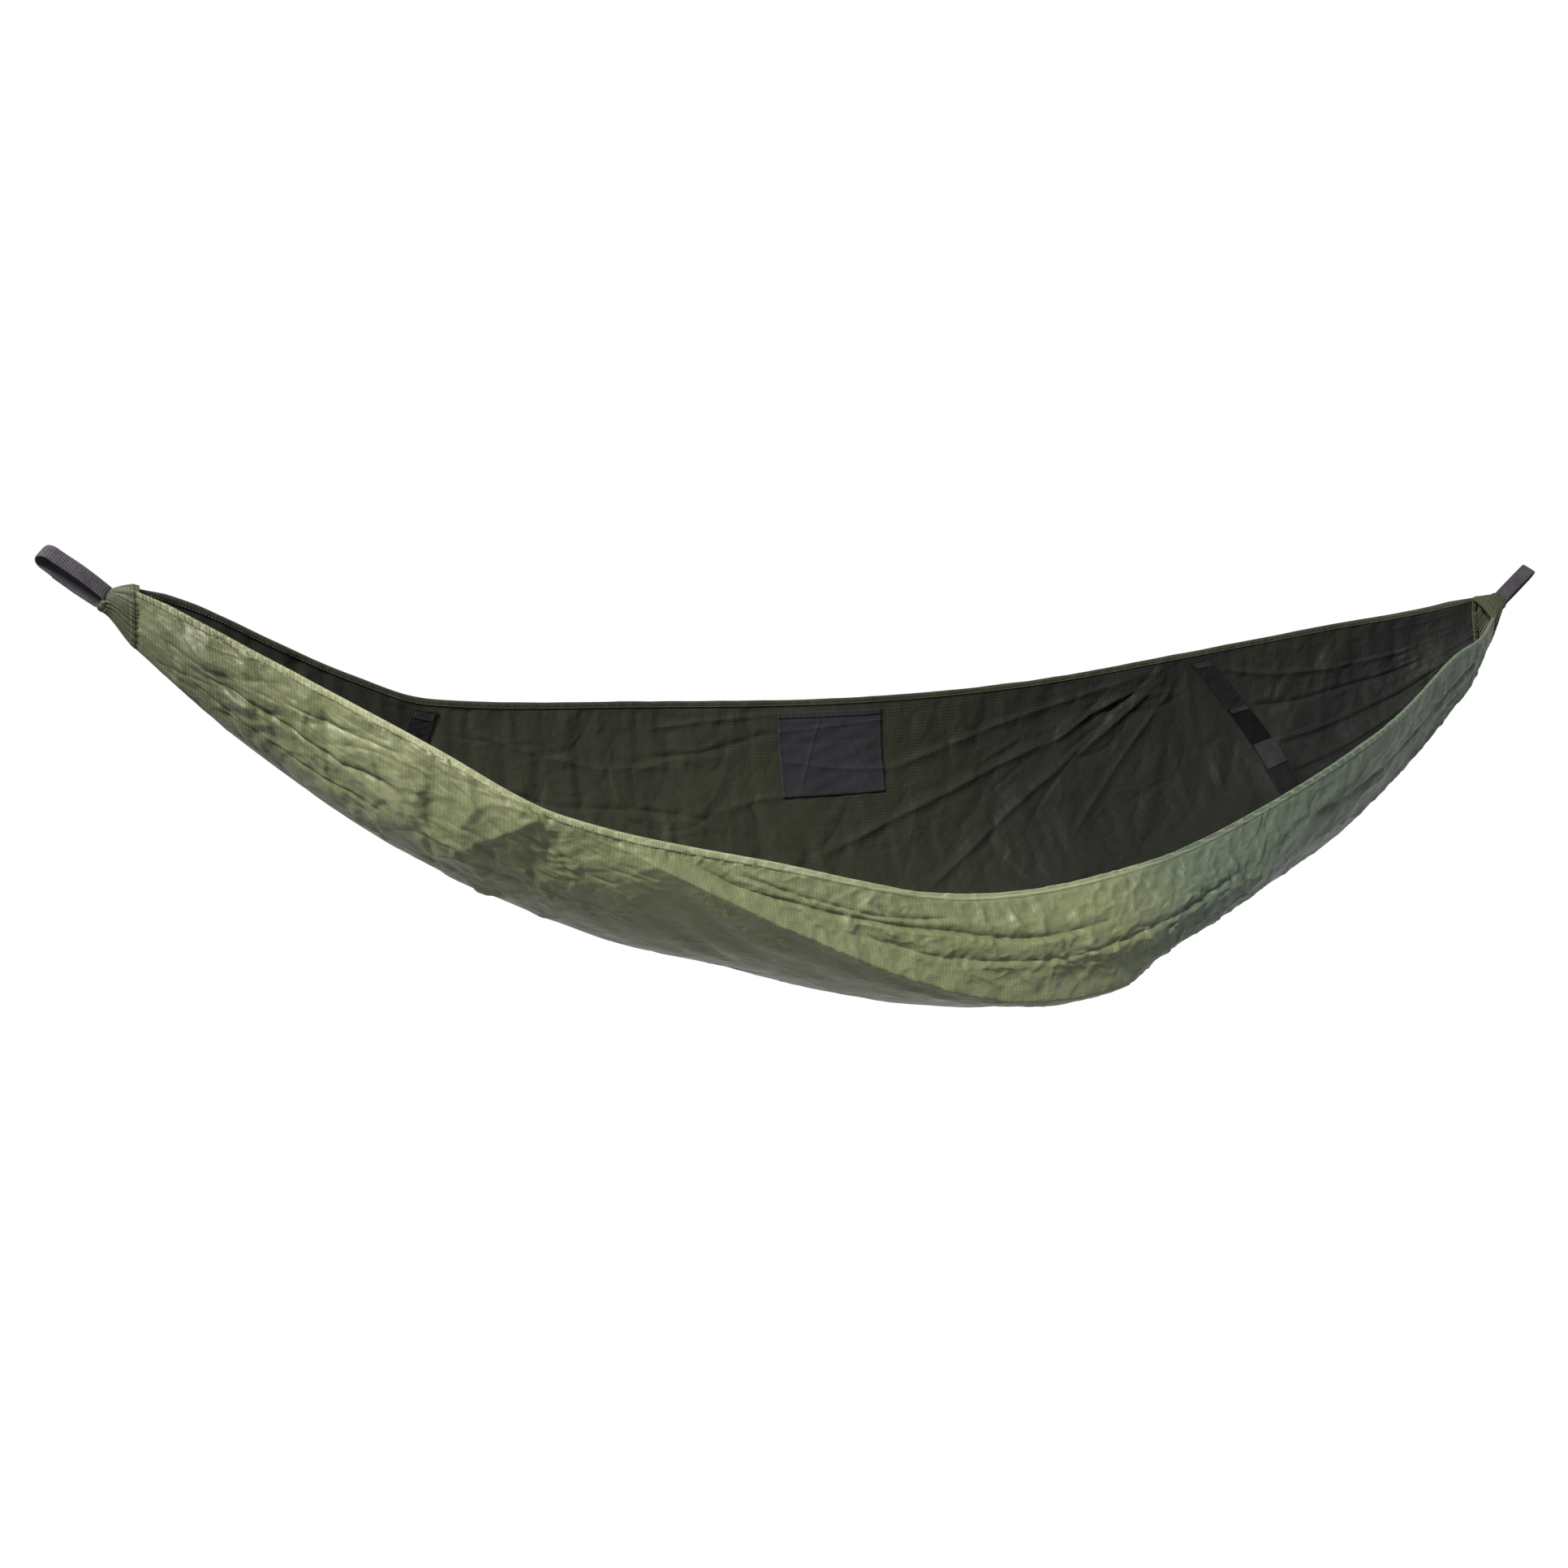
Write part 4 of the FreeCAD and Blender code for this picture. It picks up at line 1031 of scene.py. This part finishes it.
def sleeve(end):
    """The cloth wrapped round the webbing's inner bend, pleated along the bend."""
    phi = np.linspace(-SLEEVE_HALF, SLEEVE_HALF, 90)
    r_in, r_out = EYE_R - SLEEVE_PLAY, EYE_R + WEB_THICK + SLEEVE_PLAY
    w_in = WEB_WIDE / 2 + SLEEVE_PLAY
    pleat = pleat_wave(phi * 2.2, 22, 31 if end.sign < 0 else 32)
    ends = np.sqrt(np.clip((SLEEVE_HALF - np.abs(phi)) / 0.10, 0.0, 1))
    grow = SLEEVE_WALL * (0.72 + 0.25 * pleat) * (0.25 + 0.75 * ends)
    mid_r, half_r = (r_in + r_out) / 2, (r_out - r_in) / 2
    outer, inner = [], []
    for a in 2 * math.pi * np.arange(48) / 48:
        c, s = math.cos(a), math.sin(a)
        square = (abs(c) ** 5 + abs(s) ** 5) ** -0.2
        for rows, more in ((outer, grow), (inner, 0.05)):
            r = mid_r + c * square * (half_r + more)
            w = s * square * (w_in + more)
            rows.append(end.place(-r * np.cos(phi), r * np.sin(phi), w + 0 * phi))
    return band(to_row(np.concatenate([np.stack(outer, 1), np.stack(inner, 1)[::-1]])))


def gathered_end(side, end):
    body, rings = gather(end)
    piece(side + "_gather", join([body, sleeve(end)]), channel_material, "bed", "outer_fabric",
          side + "_end_channel")
    return rings


def gather_seam(side, rings):
    """A thin stitched band that follows the pleats round the start of the gather."""
    middle = rings[SEAM_RING].mean(0)
    outer, inner = [], []
    for k in range(SEAM_RINGS):
        ring = rings[SEAM_RING + k]
        spoke, _ = spokes(ring, middle)
        outer.append(ring + spoke * (0.5 if 0 < k < SEAM_RINGS - 1 else 0.1))
        inner.append(ring - spoke * 0.8)
    parts = [band(to_row(np.stack(outer + inner[::-1])).transpose(1, 0, 2))]
    line = rings[SEAM_RING + SEAM_RINGS // 2]
    spoke = spokes(line, middle)[0][::3]
    along = (np.roll(line, -1, 0) - np.roll(line, 1, 0))[::3]
    for shift in (-1, 1):
        row = rings[SEAM_RING + SEAM_RINGS // 2 + shift][::3]
        parts.append(dashes(to_row(row + spoke * 0.5), along, spoke, 2.4 * MM, 0.7 * MM, 0.9 * MM))
    piece(side + "_gather_seam", join(parts), channel_material, "bed", "thread", side + "_channel_seam")


ENDS = {"left": End(-1), "right": End(1)}
for side, end in ENDS.items():
    webbing_loop(side, end)
    loop_lap(side, end)
    lap_thread(side, end)
    gather_seam(side, gathered_end(side, end))

# ================================================================ cross straps
V_STEP = 0.002


def strap_x(name, v):
    x, lean = STRAPS[name]
    t = np.minimum(1.0, (1 - v) / STRAP_LEAN_V)
    return x + lean * t * (2 - t)


def onward(x, v, distance, way=-1):
    """v moved by a distance along the section at x."""
    here = wall(x, v)
    while distance > 0 and abs(v + way * V_STEP) <= 1:
        there = wall(x, v + way * V_STEP)
        length = np.linalg.norm(there - here)
        v += way * V_STEP * min(1.0, distance / length)
        distance -= length
        here = there
    return v


def smooth_lift(x, v):
    """The folds under a strap, with the small creases taken out, because webbing bridges them."""
    total = 0
    for dx in (-14, -5, 5, 14):
        for dv in (-0.02, -0.007, 0.007, 0.02):
            total = total - sample(SHARED, x + dx, np.clip(v + dv, -1, 1))
    return total / 16


def strap_surface(name, v0, v1, rows, cols, wide, depth, relief):
    """Grid of points on a strap: relief(along, across) is its height over the given depth, in mm."""
    v = np.linspace(v0, v1, rows)[:, None] + np.zeros((1, cols))
    w = np.linspace(-0.5, 0.5, cols)[None, :] + np.zeros((rows, 1))
    x = strap_x(name, v) + w * wide
    line = wall(x[:, cols // 2], v[:, cols // 2])
    run = np.cumsum(np.concatenate([[0], np.linalg.norm(np.diff(line, axis=0), axis=1)]))
    rise = relief(run[:, None] + 0 * w, w * wide)
    return wall(x, v) + inward(x, v) * (depth + smooth_lift(x, v) + rise)[..., None]


def strip(name, label, v0, v1, depth, thick, wide, relief, material, body, slot, node, rows, cols):
    """A flat strip of webbing or tape, closed, with its edges turned down."""
    def top(run, across):
        edge = np.clip((wide / 2 - np.abs(across)) / 0.9, 0, 1) ** 0.5
        end = np.clip(np.minimum(run, run.max() - run) / 0.7, 0, 1) ** 0.5
        return (thick + relief(run, across)) * (0.45 + 0.55 * np.minimum(edge, end))

    near = strap_surface(name, v0, v1, rows, cols, wide, depth, top)
    far = strap_surface(name, v0, v1, rows, cols, wide, depth, lambda run, across: 0 * run)
    piece(name + "_" + label, shell(to_row(near), to_row(far)), material, body, slot, name + "_strap_" + node)


def pile_relief(run, across):
    r = np.random.default_rng(int(run.shape[0]))
    return r.uniform(-0.25, 0.45, run.shape) + 0.2 * np.sin(run * 0.5 + across * 0.3)


def elastic_relief(run, across):
    waves_along = 0.16 * np.sin(run * 0.42) + 0.1 * np.sin(run * 1.9 + across * 0.2)
    return 0.22 * np.cos(2 * math.pi * across / 2.4) + waves_along


def hook_relief(run, across):
    return 0.35 * np.maximum(0, np.sin(run * 2.4) * np.sin(across * 2.4)) - 0.05


def web_relief(run, across):
    return 0.13 * np.cos(2 * math.pi * across / 3.2) + 0.07 * np.sin(2 * math.pi * run / 1.8)


def seam_relief(run, across):
    return 0.35 * np.cos(2 * math.pi * run / 2.6)


def strap(name):
    def go(v, distance, way=-1):
        return onward(strap_x(name, v), v, distance, way)

    top = go(1.0, RIM_CLEAR)
    pile_end = go(top, PILE_LONG)
    elastic_start = go(pile_end, JOIN_GAP)
    elastic_end = go(elastic_start, ELASTIC_LONG)
    tab_start = go(elastic_end, JOIN_GAP)
    tab_end = go(tab_start, TAB_LONG)
    last = go(-1.0, RIM_CLEAR, 1)
    tack_top = go(top, 4.0)
    tack_low = onward(strap_x(name, top), tack_top, 12.0)
    front_low = go(last, 4.0, 1)
    front_top = onward(strap_x(name, last), front_low, 12.0, 1)
    fine = 2
    wide = STRAP_WIDE - 1
    on_cloth = (STRAP_DEPTH, STRAP_THICK)
    strip(name, "pile", top, pile_end, *on_cloth, STRAP_WIDE, pile_relief, pile_material,
          "bed", "pile_tape", "pile", 110 * fine, 38 * fine)
    strip(name, "elastic", elastic_start, elastic_end, *on_cloth, wide, elastic_relief, elastic_material,
          "bed", "elastic_webbing", "elastic", 80 * fine, 60 * fine)
    strip(name, "front_web", tab_start, last, *on_cloth, wide, web_relief, strap_material,
          "bed", "strap_webbing", "front", 300 * fine, 36 * fine)
    strip(name, "hook", tab_start, tab_end, OVER_DEPTH, TAB_THICK - 0.3, wide, hook_relief, hook_material,
          name + "_tab", "hook_tape", "hook_tab", 60 * fine, 40 * fine)
    for label, v0, v1, node in (("join_seam", go(pile_end, 1.0, 1), go(pile_end, 8.0), "seam"),
                                ("rear_tack", tack_top, tack_low, "rear_tack"),
                                ("front_tack", front_top, front_low, "front_tack")):
        strip(name, label, v0, v1, OVER_DEPTH, 1.0, STRAP_WIDE - 6, seam_relief, thread_material,
              "bed", "thread", node, 40, 30)


for name in STRAPS:
    strap(name)

# ================================================================ pocket
POCKET_START = POCKET_BELOW + BINDING_TALL + JOIN_GAP


def pocket_grid(start, tall, rows, cols, depth, relief):
    """Grid of points on the pocket, and how far across and down it each one is."""
    x = np.linspace(POCKET_X - POCKET_WIDE / 2, POCKET_X + POCKET_WIDE / 2, cols)
    few_x, few_down = np.linspace(x[0], x[-1], 7), np.linspace(start, start + tall, 9)
    table = np.array([[onward(fx, 1.0, d) for d in few_down] for fx in few_x])
    at = np.stack([np.interp(x, few_x, table[:, k]) for k in range(9)], 1)
    downs = np.linspace(start, start + tall, rows)
    v = np.stack([np.interp(downs, few_down, at[i]) for i in range(cols)], 0)
    x = x[:, None] + 0 * v
    down = downs[None, :] + 0 * v
    height = depth + smooth_lift(x, v) + relief(x - POCKET_X, down)
    return wall(x, v) + inward(x, v) * height[..., None], x, down


def pocket_relief(x, down):
    """Soft creases that run across the pocket, and a turned edge that stands a little proud."""
    broad = 1.6 * crest((down - 118 - 0.12 * x + 0.0006 * x * x) / 11)
    upper = 1.0 * crest((down - 44 + 0.07 * x) / 8) - 0.8 * crest((down - 70 + 0.02 * x) / 14)
    side, foot = POCKET_WIDE / 2 - np.abs(x), POCKET_TALL + POCKET_BELOW - down
    hem_edge = 0.5 * np.clip(1 - np.abs(side - 4) / 4, 0, 1) + 0.5 * np.clip(1 - np.abs(foot - 4) / 4, 0, 1)
    ripple = 0.5 * np.sin(x * 0.11 + down * 0.05) * np.sin(down * 0.16 - x * 0.03)
    slack = 1.1 * crest((x - 30 - 0.5 * (down - 60)) / 9) + 0.9 * crest((x + 42 + 0.35 * (down - 90)) / 8)
    inside = np.clip(side / 20, 0, 1) * np.clip((160 - down) / 20, 0, 1)
    return broad + upper + hem_edge + ripple + slack * inside


def binding_relief(x, down):
    """A rolled edge, with a slight ripple."""
    t = (down - POCKET_BELOW) / BINDING_TALL * 2 - 1
    return 1.5 * np.sqrt(np.clip(1 - t ** 4, 0, 1)) + 0.2 * np.sin(x * 0.5)


def pocket_piece(name, start, tall, rows, cols, high, low, relief, node):
    near, x, down = pocket_grid(start, tall, rows, cols, POCKET_DEPTH + high, relief)
    far, _, _ = pocket_grid(start, tall, rows, cols, POCKET_DEPTH + low, lambda x, down: 0 * x)
    return piece(name, shell(to_row(near), to_row(far)), pocket_material, "bed", "pocket_cloth", node,
                 uvs=both_sides(np.stack([x, down], -1) * MM, 2))


def pocket_stitches():
    """Two rows of thread down the sides and along the foot of the pocket."""
    parts = []
    for shift in (3.0, 6.5):
        edge = POCKET_WIDE / 2 - shift
        foot = POCKET_BELOW + POCKET_TALL - shift
        xs, downs = np.arange(-edge, edge, 4.0), np.arange(POCKET_START + 2, foot, 4.0)
        for px, pd in ((0 * downs - edge, downs), (xs, 0 * xs + foot), (0 * downs + edge, downs)):
            x = px + POCKET_X
            v = np.array([onward(a, 1.0, b) for a, b in zip(x, pd)])
            high = POCKET_DEPTH + 1.25 + smooth_lift(x, v) + pocket_relief(px, pd)
            here = wall(x, v) + inward(x, v) * high[:, None]
            parts.append(dashes(to_row(here), np.gradient(here, axis=0), inward(x, v),
                                2.6 * MM, 0.6 * MM, 0.7 * MM))
    return piece("pocket_stitches", join(parts), thread_material, "bed", "thread")


panel_rows, pocket_cols = ((150, 200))
pocket_panel = pocket_piece("pocket_cloth", POCKET_START, POCKET_TALL - BINDING_TALL - JOIN_GAP, panel_rows,
                            pocket_cols, 1.2, -0.2, pocket_relief, "pocket_panel")
pocket_binding = pocket_piece("pocket_mouth_binding", POCKET_BELOW, BINDING_TALL, 16, pocket_cols, 0.6, -0.4,
                              binding_relief, "pocket_binding")
pocket_thread = pocket_stitches()

# ================================================================ stage and light
FLOOR_DROP = 0.75
FLOOR_REACH = 14.0


def area_light(name, place, aim, size, power, colour):
    data = bpy.data.lights.new(name, "AREA")
    data.shape = "RECTANGLE"
    data.size, data.size_y = size
    data.energy = power
    data.color = colour
    light = bpy.data.objects.new(name, data)
    bpy.context.scene.collection.objects.link(light)
    light.location = Vector(place)
    light.rotation_euler = (Vector(aim) - Vector(place)).to_track_quat("-Z", "Y").to_euler()


area_light("key", (-2.35, -2.05, 3.05), (0.8, -0.1, -0.35), (1.2, 1.2), 1650, (1.0, 0.97, 0.92))
area_light("cool", (4.6, -3.0, -1.2), (1.8, 0.0, -0.35), (1.8, 1.2), 80, (0.80, 0.96, 1.0))

world = bpy.data.worlds.new("studio")
world.use_nodes = True
world.node_tree.nodes["Background"].inputs["Color"].default_value = (1.0, 1.0, 1.0, 1.0)
world.node_tree.nodes["Background"].inputs["Strength"].default_value = 1.0
bpy.context.scene.world = world
bpy.context.scene.view_settings.view_transform = "Standard"

floor_mesh = bpy.data.meshes.new("floor")
z = CAD_BOX[0].z - FLOOR_DROP
corners = [(x * FLOOR_REACH, y * FLOOR_REACH, z) for x, y in ((-1, -1), (1, -1), (1, 1), (-1, 1))]
floor_mesh.from_pydata(corners, [], [(0, 1, 2, 3)])
floor = bpy.data.objects.new("floor", floor_mesh)
bpy.context.scene.collection.objects.link(floor)
floor_material = bpy.data.materials.new("pale_floor")
floor_material.use_nodes = True
floor_shader = floor_material.node_tree.nodes["Principled BSDF"]
floor_shader.inputs["Base Color"].default_value = (0.02, 0.02, 0.02, 1)
floor_shader.inputs["Roughness"].default_value = 1.0
floor_shader.inputs["Specular IOR Level"].default_value = 0.0
floor_shader.inputs["Emission Color"].default_value = (1.0, 1.0, 1.0, 1)
floor_shader.inputs["Emission Strength"].default_value = 1.0
floor_mesh.materials.append(floor_material)
